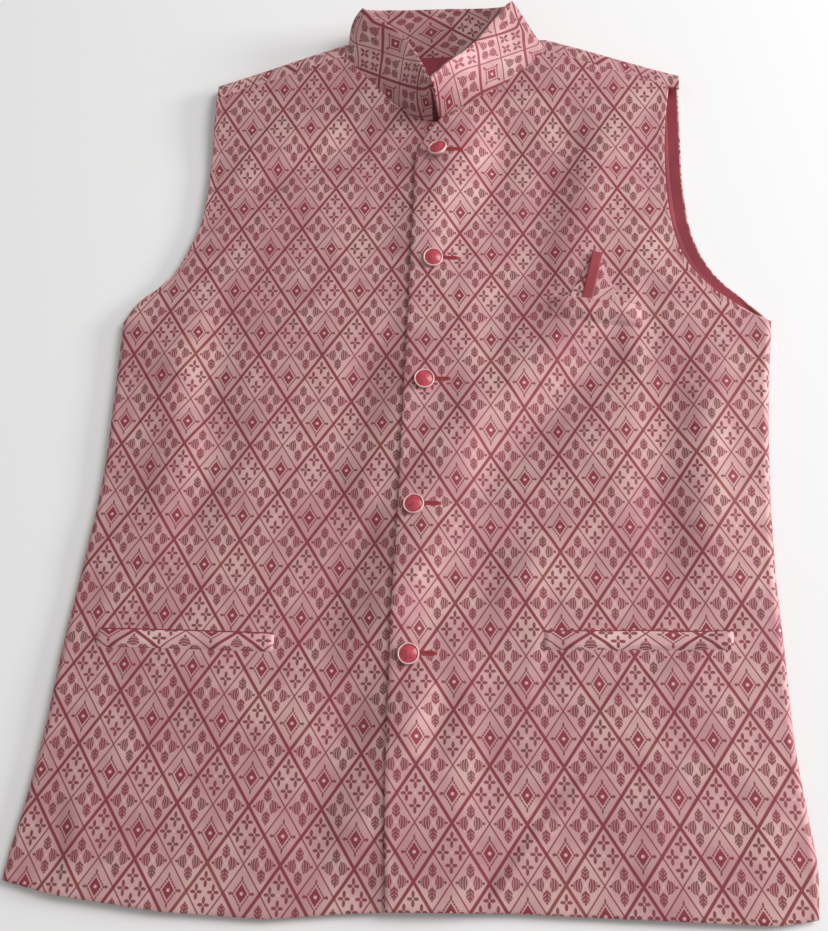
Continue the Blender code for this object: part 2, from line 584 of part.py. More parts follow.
def add_buttons(panel):
    """Five buttons on the upper front: a rimmed cup, and a domed cap set in it."""
    inside = BUTTON_RADIUS - BUTTON_RIM
    cup = ((0.0, 0.0), (BUTTON_RADIUS - BUTTON_BEVEL, 0.0), (BUTTON_RADIUS, BUTTON_BEVEL),
           (BUTTON_RADIUS, BUTTON_HEIGHT - BUTTON_BEVEL),
           (BUTTON_RADIUS - BUTTON_RIM / 2.0, BUTTON_HEIGHT),
           (inside, BUTTON_HEIGHT - BUTTON_BEVEL), (inside, BUTTON_FLOOR), (0.0, BUTTON_FLOOR))
    radius = inside - SEAM_GAP
    floor = BUTTON_FLOOR + SEAM_GAP
    edge = BUTTON_HEIGHT - CAP_SINK
    dome = [(0.0, floor), (radius, floor), (radius, edge)]
    dome += [(radius * part, edge + BUTTON_DOME * (1.0 - part ** 2)) for part in DOME_PARTS]
    for number, button in enumerate(BUTTONS, 1):
        spot, normal = under(panel, button.x, button.y)
        tilt_x, tilt_y = math.radians(button.tilt_x), math.radians(button.tilt_y)
        clear = LAID_GAP + BUTTON_RADIUS * (math.sin(abs(tilt_x)) + math.sin(abs(tilt_y)))
        frame = lying(spot + normal * clear, normal)
        frame = frame @ Matrix.Rotation(tilt_x, 4, "X") @ Matrix.Rotation(tilt_y, 4, "Y")
        turned(f"button_rim_{number}", cup, frame, RIM)
        turned(f"button_cap_{number}", dome, frame, CAP)


def set_origin():
    """Moves all pieces so that the origin is the bottom centre of the jacket's box."""
    made = [thing for thing in bpy.data.objects if thing.type == "MESH"]
    points = np.array([vertex.co for thing in made for vertex in thing.data.vertices])
    low, high = points.min(axis=0), points.max(axis=0)
    shift = Vector((-(low[0] + high[0]) / 2.0, -(low[1] + high[1]) / 2.0, -low[2]))
    for thing in made:
        for vertex in thing.data.vertices:
            vertex.co += shift


for old in list(bpy.data.objects):
    bpy.data.objects.remove(old, do_unlink=True)

fronts = {side: front_points(side) for side in (1, -1)}
back = back_points()

front_left = sheet("front_left", fronts[1], SHELL, BROCADE)
front_right = sheet("front_right", fronts[-1][:, ::-1], SHELL, BROCADE)
back_face = back[:, ::-1]
sheet("back", back_face, SHELL, BROCADE)
facing = normals(back_face)
# The upper back, short of its edges: rows and columns of the back's grid left out
LINING_BELOW = BODY_ROWS - 3
LINING_ABOVE = 4
LINING_BESIDE = 2
lined = (slice(LINING_BELOW, -LINING_ABOVE), slice(LINING_BESIDE, -LINING_BESIDE))
lining_outer = (back_face - facing * (SHELL + SEAM_GAP))[lined]
lining_inner = (back_face - facing * (SHELL + SEAM_GAP + LINING_PLY))[lined]
wall("back_lining", lining_outer, lining_inner, SATIN)

seam = collar_seam(fronts, back)
outer_ply = collar_points(seam)
outer_ply -= normals(outer_ply) * COLLAR_INSET
inner_ply = outer_ply - normals(outer_ply) * (COLLAR_PLY + COLLAR_GAP)
sheet("collar_outer", outer_ply, COLLAR_PLY, BROCADE)
sheet("collar_inner", inner_ply, COLLAR_PLY, BROCADE)

upper_front = surface_of(front_left)
add_pockets(upper_front, surface_of(front_right))
add_buttons(upper_front)
set_origin()
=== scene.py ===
"""Looks of a sleeveless Nehru jacket in lattice brocade, buttoned and laid flat on its back.

X runs toward the wearer's left side, Y from the hem toward the collar and Z up from the surface
that the back lies on. Distances are in metres.
"""

import json
import math
from collections import namedtuple

import bpy
import numpy as np
from mathutils import Matrix, Vector, noise
from mathutils.bvhtree import BVHTree

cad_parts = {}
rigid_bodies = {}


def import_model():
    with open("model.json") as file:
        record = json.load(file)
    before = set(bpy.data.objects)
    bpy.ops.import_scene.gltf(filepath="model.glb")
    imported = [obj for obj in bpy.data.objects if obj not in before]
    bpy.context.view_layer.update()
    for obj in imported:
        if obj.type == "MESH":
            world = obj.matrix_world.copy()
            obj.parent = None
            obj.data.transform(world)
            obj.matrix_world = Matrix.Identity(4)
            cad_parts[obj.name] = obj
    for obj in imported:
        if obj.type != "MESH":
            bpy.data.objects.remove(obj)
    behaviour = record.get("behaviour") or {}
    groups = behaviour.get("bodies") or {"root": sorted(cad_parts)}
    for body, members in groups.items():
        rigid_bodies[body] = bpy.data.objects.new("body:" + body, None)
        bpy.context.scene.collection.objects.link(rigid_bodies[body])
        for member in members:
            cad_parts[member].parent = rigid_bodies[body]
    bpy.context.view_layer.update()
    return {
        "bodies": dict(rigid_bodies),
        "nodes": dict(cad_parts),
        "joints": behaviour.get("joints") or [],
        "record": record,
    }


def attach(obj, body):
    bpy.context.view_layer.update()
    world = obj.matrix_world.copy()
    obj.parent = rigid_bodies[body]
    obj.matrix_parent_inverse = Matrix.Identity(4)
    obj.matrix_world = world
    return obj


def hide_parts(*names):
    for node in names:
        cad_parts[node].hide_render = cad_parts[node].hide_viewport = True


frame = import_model()
scene = bpy.context.scene


# ---------------------------------------------------------------------------------------------
# Camera. It looks down on the laid-out jacket from a little below its middle, close enough that
# the collar is seen from the front.
# ---------------------------------------------------------------------------------------------
FOCAL_PIXELS = 1250.0
FRAME_HEIGHT_PIXELS = 931.0
FILM = 36.0                  # millimetres along the frame's longer side, its height
CAMERA_PLACE = (0.0971787, -0.4048186, 0.9347376)
CAMERA_TURN = (21.11517, 5.15345, 2.43639)    # in degrees

eye = bpy.data.cameras.new("camera")
eye.sensor_width = FILM
eye.lens = FOCAL_PIXELS / FRAME_HEIGHT_PIXELS * FILM
camera = bpy.data.objects.new("camera", eye)
camera.location = CAMERA_PLACE
camera.rotation_euler = [math.radians(angle) for angle in CAMERA_TURN]
scene.collection.objects.link(camera)
scene.camera = camera


# ---------------------------------------------------------------------------------------------
# Studio. A pale paper floor, soft white light from all round, and two soft lamps beside the
# wearer's left, one low and one high, that model the folds.
# ---------------------------------------------------------------------------------------------
FLOOR_SIZE = 9.0
FLOOR_PAPER = (0.90, 0.90, 0.90, 1.0)
FLOOR_ROUGHNESS = 0.9
DAYLIGHT = (1.0, 0.985, 0.975, 1.0)
DAYLIGHT_STRENGTH = 0.42
Lamp = namedtuple("Lamp", "place size power")
LAMPS = {
    "low_lamp": Lamp((3.70, 0.60, 1.06), (1.3, 0.8), 103.0),
    "high_lamp": Lamp((2.20, 1.04, 2.40), (1.5, 1.5), 59.0),
}

scene.view_settings.view_transform = "Standard"

world = bpy.data.worlds.new("studio")
world.use_nodes = True
sky = world.node_tree.nodes["Background"].inputs
sky["Color"].default_value = DAYLIGHT
sky["Strength"].default_value = DAYLIGHT_STRENGTH
scene.world = world

for name, (place, size, power) in LAMPS.items():
    light = bpy.data.lights.new(name, "AREA")
    light.shape = "RECTANGLE"
    light.size, light.size_y = size
    light.energy = power
    lamp = bpy.data.objects.new(name, light)
    lamp.location = place
    lamp.rotation_euler = (-Vector(place)).to_track_quat("-Z", "Y").to_euler()
    scene.collection.objects.link(lamp)

bpy.ops.object.select_all(action="DESELECT")
bpy.ops.mesh.primitive_plane_add(size=FLOOR_SIZE, location=(0.0, 0.0, 0.0))
floor = bpy.context.object
floor.name = "floor"
paper = bpy.data.materials.new("floor_paper")
paper.use_nodes = True
coat = paper.node_tree.nodes["Principled BSDF"].inputs
coat["Base Color"].default_value = FLOOR_PAPER
coat["Roughness"].default_value = FLOOR_ROUGHNESS
floor.data.materials.append(paper)


# ---------------------------------------------------------------------------------------------
# Fronts. Two panels of brocade, interlined and lined, cut with the lattice upright. The wearer's
# left one laps over the right one and is buttoned to it.
# ---------------------------------------------------------------------------------------------
ORIGIN = np.array([0.0141, -0.3865, 0.0])    # the pattern's own zero, at the hem's middle
SHELL = 0.0024               # outer cloth, interlining and lining together
SEAM_GAP = 0.0003
SIDE_SEAM_HEIGHT = 0.0041
SIDE_GAP = 0.0006
SIDE_ROLL = 0.0060
HEM_HEIGHT = 0.0066
BODY_HEIGHT = 0.0080
CHEST_HEIGHT = 0.0094
SHOULDER_TIP_HEIGHT = 0.0120
NECK_HEIGHT = 0.0185
HEM_RISE = 0.07
CHEST_START = 0.30
CHEST_RISE = 0.20
ROLL_FADE = 0.04
NECK_CENTRE = -0.004
NECK_HALF = 0.091
SHOULDER_TOP = 0.748
SHOULDER_SLOPE = 0.335
SHOULDER_RUN = 0.115
SHOULDER_BLEND = 0.095
SEAM_FORWARD = 0.0165
LAP = 0.0033
LAP_START = 0.020
LAP_WIDTH = 0.034
ARMHOLE_SAG = 0.0014
SAG_WIDTH = 0.035
SAG_RISE = 0.08
HEM_REACH = 0.12

# Places counted up a front: the ends of its side seam, placket and slant, and its top. Then the
# rows between two places, in the three stretches, and the columns of its flat part and its roll
SIDE_END, PLACKET_END, SLANT_END, FRONT_TOP = 10, 16, 19, 26
SIDE_STEPS, ARMHOLE_STEPS, NECK_STEPS = 14, 12, 6
FLAT_COLUMNS, ROLL_COLUMNS = 97, 8

# Runs of points: (X, Y) down each edge, keyed by side, 1 for the wearer's left
SIDE = {
    1: ((0.2765, 0.008), (0.278, 0.040), (0.274, 0.075), (0.268, 0.125), (0.265, 0.190),
        (0.262, 0.255), (0.262, 0.325), (0.265, 0.395), (0.271, 0.466)),
    -1: ((-0.305, 0.012), (-0.301, 0.040), (-0.295, 0.075), (-0.289, 0.125), (-0.284, 0.190),
         (-0.277, 0.255), (-0.271, 0.325), (-0.271, 0.395), (-0.272, 0.467)),
}
FRONT_ARMHOLE = {
    1: ((0.271, 0.466), (0.254, 0.475), (0.237, 0.486), (0.221, 0.500), (0.206, 0.520),
        (0.196, 0.545), (0.191, 0.575), (0.189, 0.612), (0.190, 0.655), (0.1945, 0.698)),
    -1: ((-0.272, 0.467), (-0.262, 0.484), (-0.243, 0.500), (-0.229, 0.518), (-0.219, 0.542),
         (-0.212, 0.568), (-0.210, 0.607), (-0.210, 0.650), (-0.211, 0.6925)),
}
PLACKET = {
    1: ((-0.0213, 0.001), (-0.025, 0.077), (-0.027, 0.186), (-0.0262, 0.306),
        (-0.026, 0.409), (-0.0255, 0.531), (-0.026, 0.622)),
    -1: ((0.012, 0.001), (0.012, 0.250), (0.013, 0.450), (0.014, 0.620)),
}
SLANT = {
    1: ((-0.026, 0.622), (-0.0235, 0.633), (-0.015, 0.650), (-0.0055, 0.663)),
    -1: ((0.014, 0.620), (0.010, 0.635), (0.001, 0.652), (-0.008, 0.662)),
}
NECKLINE = {
    1: ((-0.0055, 0.663), (0.013, 0.674), (0.032, 0.686), (0.051, 0.700), (0.070, 0.7145),
        (0.087, 0.7315)),
    -1: ((-0.008, 0.662), (-0.026, 0.666), (-0.046, 0.680), (-0.066, 0.700), (-0.080, 0.7145),
         (-0.095, 0.7315)),
}
HEM = ((-0.305, 0.012), (-0.263, 0.003), (-0.185, -0.005), (-0.107, -0.007), (-0.051, -0.001),
       (-0.022, 0.001), (0.075, 0.004), (0.211, 0.003), (0.249, 0.003), (0.2765, 0.008))

# Soft folds and creases of the fronts, each a run of points up or across the cloth: how wide it
# is, how high it stands along the run, and how much the cloth falls across it, left to right
Fold = namedtuple("Fold", "run width rise fall", defaults=(0.0,))
FOLDS = (
    Fold(((-0.211, 0.237), (-0.210, 0.270), (-0.202, 0.305), (-0.191, 0.357), (-0.202, 0.392),
          (-0.196, 0.457), (-0.195, 0.516)), 0.024, 0.0, 0.0064),
    Fold(((-0.198, 0.596), (-0.147, 0.621), (-0.098, 0.646), (-0.068, 0.680)), 0.017, 0.0, 0.0042),
    Fold(((-0.200, 0.645), (-0.150, 0.668), (-0.106, 0.690)), 0.020, 0.0, -0.0044),
    Fold(((-0.080, 0.290), (-0.060, 0.340), (-0.044, 0.393), (-0.033, 0.460)),
         0.026, 0.0004, -0.0064),
    Fold(((-0.074, 0.170), (-0.054, 0.222), (-0.040, 0.265), (-0.030, 0.310)),
         0.025, 0.0004, -0.0056),
    Fold(((-0.072, 0.020), (-0.054, 0.080), (-0.040, 0.125), (-0.031, 0.180)),
         0.026, 0.0004, -0.0060),
    Fold(((-0.070, 0.257), (-0.053, 0.294), (-0.039, 0.330)), 0.008, 0.0, 0.0013),
    Fold(((-0.087, 0.412), (-0.060, 0.445), (-0.035, 0.478)), 0.009, 0.0, 0.0013),
    Fold(((-0.262, 0.005), (-0.258, 0.040), (-0.262, 0.080)), 0.011, 0.0, -0.0018),
    Fold(((-0.004, 0.500), (0.008, 0.570), (0.030, 0.632), (0.050, 0.690)),
         0.032, 0.0006, 0.0078),
    Fold(((0.085, 0.470), (0.100, 0.560), (0.120, 0.640), (0.140, 0.695)), 0.026, 0.0, -0.0064),
    Fold(((-0.015, 0.295), (0.021, 0.335), (0.061, 0.380), (0.109, 0.433), (0.164, 0.475)),
         0.030, 0.0010, 0.0104),
    Fold(((0.165, 0.415), (0.167, 0.460), (0.160, 0.505)), 0.014, 0.0, 0.0024),
    Fold(((-0.020, 0.180), (-0.005, 0.226), (0.012, 0.266), (0.036, 0.296)),
         0.026, 0.0010, 0.0076),
    Fold(((0.030, 0.185), (0.052, 0.235), (0.078, 0.275), (0.130, 0.307)), 0.018, 0.0, -0.0034),
    Fold(((-0.008, 0.105), (0.003, 0.138), (0.018, 0.167)), 0.016, 0.0, 0.0062),
    Fold(((0.197, 0.220), (0.195, 0.310), (0.202, 0.393), (0.208, 0.450)), 0.026, 0.0, -0.0062),
    Fold(((0.090, 0.174), (0.138, 0.187), (0.182, 0.206), (0.223, 0.226), (0.262, 0.246)),
         0.009, 0.0, 0.0021),
    Fold(((0.095, 0.143), (0.159, 0.169), (0.203, 0.196), (0.262, 0.224)), 0.010, 0.0, -0.0030),
    Fold(((0.036, -0.008), (0.072, 0.045), (0.100, 0.081), (0.132, 0.117)), 0.007, 0.0, -0.0026),
    Fold(((0.078, 0.136), (0.085, 0.189), (0.091, 0.243)), 0.011, 0.0, 0.0012),
    Fold(((0.236, 0.480), (0.200, 0.500), (0.160, 0.530)), 0.009, 0.0007),
    Fold(((0.250, 0.450), (0.236, 0.400), (0.228, 0.330)), 0.009, -0.0006),
    Fold(((-0.255, 0.455), (-0.225, 0.430), (-0.200, 0.400)), 0.008, 0.0006),
    Fold(((-0.120, 0.470), (-0.080, 0.510), (-0.036, 0.545)), 0.010, 0.0006),
    Fold(((-0.150, 0.100), (-0.125, 0.060), (-0.112, 0.010)), 0.010, 0.0005),
    Fold(((0.190, 0.130), (0.172, 0.080), (0.165, 0.015)), 0.011, 0.0006),
    Fold(((0.240, 0.150), (0.225, 0.090), (0.228, 0.030)), 0.010, -0.0006),
    Fold(((0.060, 0.690), (0.085, 0.650), (0.098, 0.600)), 0.010, 0.0006),
)
SIDE_FALL = {1: 0.0005, -1: 0.0010}      # of the fronts toward their side seams
SIDE_FALL_WIDTH = 0.046
SIDE_FALL_EDGE = 0.004       # left level beside the seam
SIDE_FALL_FADE = 0.05
SIDE_FALL_REACH = 3.2        # in fades, to where it ends
SIDE_SINK = 0.25             # the part of it that is below the panel's own height
FINE_HEM = 0.010             # over which the fine unevenness dies out at the hem
FINE_SEAM = 0.025            # and at the shoulder seam
FOLD_STEPS = 40
FLUTE_SIZE = 0.055           # of the cloth's slow waver
FLUTE_DEPTH = 0.0007
COCKLE_SIZE = 0.014          # of its fine unevenness
COCKLE_DEPTH = 0.00016
PUCKER_PITCH = 0.011         # of the small puckers beside a sewn edge
PUCKER_DEPTH = 0.00022
PUCKER_REACH = 0.010
PUCKER_SPREAD = 0.05         # over which they come and go


def smooth(t):
    """An eased step from 0 to 1."""
    t = np.clip(t, 0.0, 1.0)
    return t * t * (3.0 - 2.0 * t)


def curve(points, parts):
    """Points at the given parts, 0 to 1, of the length of a smooth curve."""
    points = np.array(points, float)
    before = 2.0 * points[0] - points[1]
    after = 2.0 * points[-1] - points[-2]
    knots = np.vstack([before, points, after])
    t = np.linspace(0.0, 1.0, 24, endpoint=False)[:, None]
    spans = []
    for a, b, c, d in zip(knots, knots[1:], knots[2:], knots[3:]):
        spans.append(0.5 * (2.0 * b + (c - a) * t + (2.0 * a - 5.0 * b + 4.0 * c - d) * t ** 2
                            + (3.0 * b - a - 3.0 * c + d) * t ** 3))
    line = np.vstack(spans + [points[-1:]])
    length = run_length(line)
    wanted = np.asarray(parts) * length[-1]
    return np.column_stack([np.interp(wanted, length, axis) for axis in line.T])


def run_length(points):
    """Distance along a run of points, from its first."""
    return np.concatenate([[0.0], np.cumsum(np.linalg.norm(np.diff(points, axis=0), axis=1))])


def stops(*spans):
    """Places 0, 1, 2 ... with steps between; each span is how many places and steps in each."""
    places = [np.zeros(1)]
    for count, steps in spans:
        places.append(places[-1][-1] + np.arange(1, count * steps + 1) / steps)
    return np.concatenate(places)


def edge_runs(runs, places):
    """Points at the places of runs laid end to end, each run its points and its last place."""
    found, start = [], 0.0
    for points, end in runs:
        inside = (places >= start if start == 0.0 else places > start) & (places <= end)
        found.append(curve(points, (places[inside] - start) / (end - start)))
        start = end
    return np.vstack(found)


def waver(x, y, size, seed):
    """A smooth random value from about -1 to 1 at each point."""
    flat = [noise.noise(Vector((a / size, b / size, seed))) for a, b in zip(x.ravel(), y.ravel())]
    return np.array(flat).reshape(x.shape) * 1.6


def fold_height(x, y, folds):
    """Height that folds add, each fading out toward its ends."""
    height = np.zeros_like(x)
    for fold in folds:
        line = curve(fold.run, np.linspace(0.0, 1.0, FOLD_STEPS + 1))
        step = np.gradient(line, axis=0)
        length = np.linalg.norm(step, axis=1)
        nearest = np.argmin((x[..., None] - line[:, 0]) ** 2 + (y[..., None] - line[:, 1]) ** 2,
                            axis=-1)
        to_x, to_y = x - line[nearest, 0], y - line[nearest, 1]
        run_x, run_y = (step[nearest] / length[nearest][..., None]).transpose(2, 0, 1)
        part = (nearest + (to_x * run_x + to_y * run_y) / length[nearest]) / FOLD_STEPS
        across = (to_y * run_x - to_x * run_y) / fold.width
        fade = smooth(part * 4.0) * smooth((1.0 - part) * 4.0) * np.exp(-across ** 2)
        height += fade * (fold.rise + fold.fall * across)
    return height


def shoulder_height(x):
    """Height of the shoulder seam at X, lowest at the shoulder's tip."""
    tip = (abs(x - NECK_CENTRE) - NECK_HALF) / SHOULDER_RUN
    return NECK_HEIGHT + (SHOULDER_TIP_HEIGHT - NECK_HEIGHT) * smooth(tip)


def shoulder_fold(x):
    """Y of the outermost line of the shoulder at X."""
    return SHOULDER_TOP - SHOULDER_SLOPE * np.maximum(abs(x - NECK_CENTRE) - NECK_HALF, 0.0)


def seam_line(x):
    """Y of the shoulder seam at X."""
    return shoulder_fold(x) - SEAM_FORWARD


def to_seam(points):
    """The points with their last one moved along Y onto the shoulder seam."""
    return points[:-1] + ((points[-1][0], seam_line(points[-1][0])),)


def past_side(edge, places):
    """Distance of each point of an edge past the top of its side seam, along the armhole."""
    travelled = run_length(edge)
    return np.maximum(travelled - travelled[places <= SIDE_END][-1], 0.0)


def quarter_turn(steps):
    """Angles of a quarter turn, without its start."""
    return np.linspace(0.0, math.pi / 2.0, steps + 1)[1:]


def roll_share(distance):
    """How much of the side's roll is left at a distance along the armhole."""
    return 1.0 - smooth(distance / ROLL_FADE)


def front_height(x, y, side):
    """Height of a front's outer face, with its folds and creases."""
    body = HEM_HEIGHT + (BODY_HEIGHT - HEM_HEIGHT) * smooth(y / HEM_RISE)
    body = body + (CHEST_HEIGHT - BODY_HEIGHT) * smooth((y - CHEST_START) / CHEST_RISE)
    near_seam = smooth(1.0 - (seam_line(x) - y) / SHOULDER_BLEND)
    fine = FLUTE_DEPTH * waver(x, y, FLUTE_SIZE, seed=1.7)
    fine = fine + COCKLE_DEPTH * waver(x, y, COCKLE_SIZE, seed=5.2)
    fine = fine * smooth(y / FINE_HEM)
    level = body + fold_height(x, y, FOLDS) * (1.0 - near_seam ** 3)
    level = level + (shoulder_height(x) - level) * near_seam
    level = level + fine * smooth((seam_line(x) - y) / FINE_SEAM)
    if side > 0:
        level = level + LAP * (1.0 - smooth((x - LAP_START) / LAP_WIDTH))
    return level


def front_grid(side):
    """Outer face of a front and its pattern's coordinates: rows up, columns out to the side."""
    places = stops((SIDE_END, SIDE_STEPS), (PLACKET_END - SIDE_END, ARMHOLE_STEPS),
                   (FRONT_TOP - PLACKET_END, NECK_STEPS))
    inner = edge_runs(((PLACKET[side], PLACKET_END), (SLANT[side], SLANT_END),
                       (to_seam(NECKLINE[side]), FRONT_TOP)), places)
    outer = edge_runs(((SIDE[side], SIDE_END), (to_seam(FRONT_ARMHOLE[side]), FRONT_TOP)), places)
    climb = past_side(outer, places)
    hem = np.array(HEM)
    part = np.linspace(0.0, 1.0, FLAT_COLUMNS)
    turn = quarter_turn(ROLL_COLUMNS)
    points, pattern = [], []
    for (x0, y0), (x1, y1), distance in zip(inner, outer, climb):
        share = roll_share(distance)
        flat = x1 - side * SIDE_ROLL
        bend = share * np.sin(turn) + (1.0 - share) * turn / (math.pi / 2.0)
        x = np.concatenate([x0 + (flat - x0) * part, flat + side * SIDE_ROLL * bend])
        y = y0 + (y1 - y0) * (x - x0) / (x1 - x0)
        straight = inner[0][1] + (outer[0][1] - inner[0][1]) * (x - x0) / (x1 - x0)
        y = y + (np.interp(x, hem[:, 0], hem[:, 1]) - straight) * (1.0 - smooth(y / HEM_REACH))
        points.append(np.column_stack([x, y, share * np.ones_like(x)]))
        u = np.concatenate([x[:FLAT_COLUMNS], flat + side * SIDE_ROLL * turn])
        pattern.append(np.column_stack([u, y]))
    points, pattern = np.array(points), np.array(pattern)
    x, y, share = points[:, :, 0], points[:, :, 1], points[:, :, 2]
    z = front_height(x, y, side)
    to_edge = abs(outer[:, :1] - x)
    sunk = smooth((seam_line(x) - y) / SAG_RISE) * smooth(1.0 - to_edge / SAG_WIDTH)
    z = z - ARMHOLE_SAG * (1.0 - share) * sunk
    fall = 1.0 - SIDE_SINK - smooth(1.0 - to_edge / SIDE_FALL_WIDTH)
    inside = smooth(to_edge / SIDE_FALL_EDGE - 1.0) * smooth(
        SIDE_FALL_REACH - to_edge / SIDE_FALL_FADE)
    z = z + SIDE_FALL[side] * fall * share * inside
    drop = np.concatenate([np.zeros(FLAT_COLUMNS), 1.0 - np.cos(turn)])
    puckers = np.sin(y / PUCKER_PITCH * 2.0 * math.pi) * smooth(1.0 - to_edge / PUCKER_REACH)
    z = z + PUCKER_DEPTH * puckers * waver(x, y, PUCKER_SPREAD, seed=8.8)
    z = z - share * drop * (z - SIDE_SEAM_HEIGHT)
    return np.dstack([x, y, z]) + ORIGIN, pattern


def normals(points):
    """Unit normals of a grid of points, along rows crossed with up columns."""
    along = np.gradient(points, axis=1, edge_order=2)
    up = np.gradient(points, axis=0, edge_order=2)
    normal = np.cross(along, up)
    return normal / np.linalg.norm(normal, axis=2)[:, :, None]


def border_of(rows, columns):
    """Row and column of each point on a grid's border, anticlockwise."""
    border = [(0, c) for c in range(columns - 1)] + [(r, columns - 1) for r in range(rows - 1)]
    border += [(rows - 1, c) for c in range(columns - 1, 0, -1)]
    return np.array(border + [(r, 0) for r in range(rows - 1, 0, -1)])


def cloth_piece(name, outer, pattern, thickness, finishes, roundness=0.45, rings=4):
    """A closed piece of cloth: its outer face, that face moved in, and a rounded edge.

    The outer face and the edge take the first finish, the inner face the last.
    """
    rows, columns = outer.shape[:2]
    facing = normals(outer)
    inner = outer - facing * thickness
    r, c = border_of(rows, columns).T
    edge, out = outer[r, c], facing[r, c]
    away = np.cross(np.roll(edge, -1, axis=0) - np.roll(edge, 1, axis=0), out)
    away /= np.linalg.norm(away, axis=1)[:, None]
    half = thickness / 2.0
    layers = []
    for angle in np.linspace(0.0, math.pi, rings + 2)[1:-1]:
        layers.append(edge - out * half * (1.0 - math.cos(angle))
                      + away * half * roundness * math.sin(angle))
    points = np.vstack([outer.reshape(-1, 3), inner.reshape(-1, 3)] + layers)
    size, around = rows * columns, len(r)
    loops = [r * columns + c] + [2 * size + k * around + np.arange(around) for k in range(rings)]
    loops.append(size + r * columns + c)
    a = (np.arange(rows - 1)[:, None] * columns + np.arange(columns - 1)).ravel()
    outside = np.column_stack([a, a + 1, a + columns + 1, a + columns])
    inside = size + outside[:, ::-1]
    rim = [np.column_stack([upper, lower, np.roll(lower, -1), np.roll(upper, -1)])
           for upper, lower in zip(loops, loops[1:])]
    faces = np.vstack([outside, inside] + rim)
    mesh = bpy.data.meshes.new(name)
    mesh.from_pydata(points.tolist(), [], faces.tolist())
    mesh.shade_smooth()
    flat = pattern.reshape(-1, 2)
    spots = np.vstack([flat, flat] + [pattern[r, c]] * rings)
    layer = mesh.uv_layers.new(name="cloth")
    layer.data.foreach_set("uv", spots[faces.ravel()].ravel())
    for finish in finishes:
        mesh.materials.append(finish)
    kind = np.zeros(len(faces), int)
    kind[len(outside):len(outside) + len(inside)] = len(finishes) - 1
    mesh.polygons.foreach_set("material_index", kind)
    made = bpy.data.objects.new(name, mesh)
    scene.collection.objects.link(made)
    return made


def wear(piece, slot, *nodes):
    """Rides the piece on the jacket and hides the nodes it stands for. Its slot is not used."""
    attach(piece, "root")
    if nodes:
        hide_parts(*nodes)


def tint(red, green, blue):
    """A linear colour from its 0 to 255 screen values."""
    screen = np.array([red, green, blue]) / 255.0
    linear = np.where(screen <= 0.04045, screen / 12.92, ((screen + 0.055) / 1.055) ** 2.4)
    return (*linear.tolist(), 1.0)


class Finish:
    """A material, with one way to add a node to it."""

    def __init__(self, name):
        self.material = bpy.data.materials.new(name)
        self.material.use_nodes = True
        self.shader = self.material.node_tree.nodes["Principled BSDF"]

    def node(self, kind, settings, sockets):
        """A node of a type, its settings made first, then its sockets set or linked."""
        made = self.material.node_tree.nodes.new(kind)
        for name, value in settings.items():
            setattr(made, name, value)
        self.feed(made, sockets)
        return made

    def feed(self, node, sockets):
        """Sets or links sockets of a node."""
        for name, value in sockets.items():
            if isinstance(value, Level):
                value = value.socket
            if isinstance(value, bpy.types.NodeSocket):
                self.material.node_tree.links.new(value, node.inputs[name])
            else:
                node.inputs[name].default_value = value

    def mix(self, share, first, second):
        """A colour between two, by a share from 0 to 1."""
        made = self.node("ShaderNodeMix", {"data_type": "RGBA"}, {0: share, 6: first, 7: second})
        return made.outputs[2]

    def noise(self, where, scale, detail=2.0):
        """A soft random level about one half."""
        made = self.node("ShaderNodeTexNoise", {"noise_dimensions": "3D"},
                         {"Vector": where, "Scale": scale, "Detail": detail})
        return Level(self, made.outputs["Fac"])

    def cloth_spot(self):
        """The cloth's own coordinates, and how far along and up the cloth they lie."""
        spot = self.node("ShaderNodeUVMap", {"uv_map": "cloth"}, {}).outputs[0]
        place = self.node("ShaderNodeSeparateXYZ", {}, {0: spot})
        return spot, Level(self, place.outputs[0]), Level(self, place.outputs[1])

    def bump(self, height, distance, strength, under=None):
        """A normal that follows a height."""
        sockets = {"Height": height, "Distance": distance, "Strength": strength}
        if under is not None:
            sockets["Normal"] = under
        return self.node("ShaderNodeBump", {}, sockets).outputs["Normal"]


def sum_of(operation):
    """A way to write one sum on a level, and on another value where the sum takes two."""
    return lambda level, *others: level.sum(operation, level, *others)


class Level:
    """A number that changes over a surface, on which sums are written."""

    def __init__(self, finish, socket):
        self.finish = finish
        self.socket = socket

    def sum(self, operation, *values):
        made = self.finish.node("ShaderNodeMath", {"operation": operation},
                                dict(enumerate(values)))
        return Level(self.finish, made.outputs[0])

    __add__ = __radd__ = sum_of("ADD")
    __sub__ = sum_of("SUBTRACT")
    __mul__ = __rmul__ = sum_of("MULTIPLY")
    __truediv__ = sum_of("DIVIDE")
    __gt__ = sum_of("GREATER_THAN")
    size = sum_of("ABSOLUTE")
    part = sum_of("FRACT")
    sine = sum_of("SINE")
    least = sum_of("MINIMUM")
    most = sum_of("MAXIMUM")

    def __rsub__(self, other):
        return self.sum("SUBTRACT", other, self)

    def ramp(self, low, high):
        """An eased rise from 0 at low to 1 at high, or a fall where low is the larger."""
        flip = low > high
        made = self.finish.node(
            "ShaderNodeMapRange", {"interpolation_type": "SMOOTHSTEP"},
            {"Value": self, "From Min": min(low, high), "From Max": max(low, high),
             "To Min": 1.0 if flip else 0.0, "To Max": 0.0 if flip else 1.0})
        return Level(self.finish, made.outputs[0])


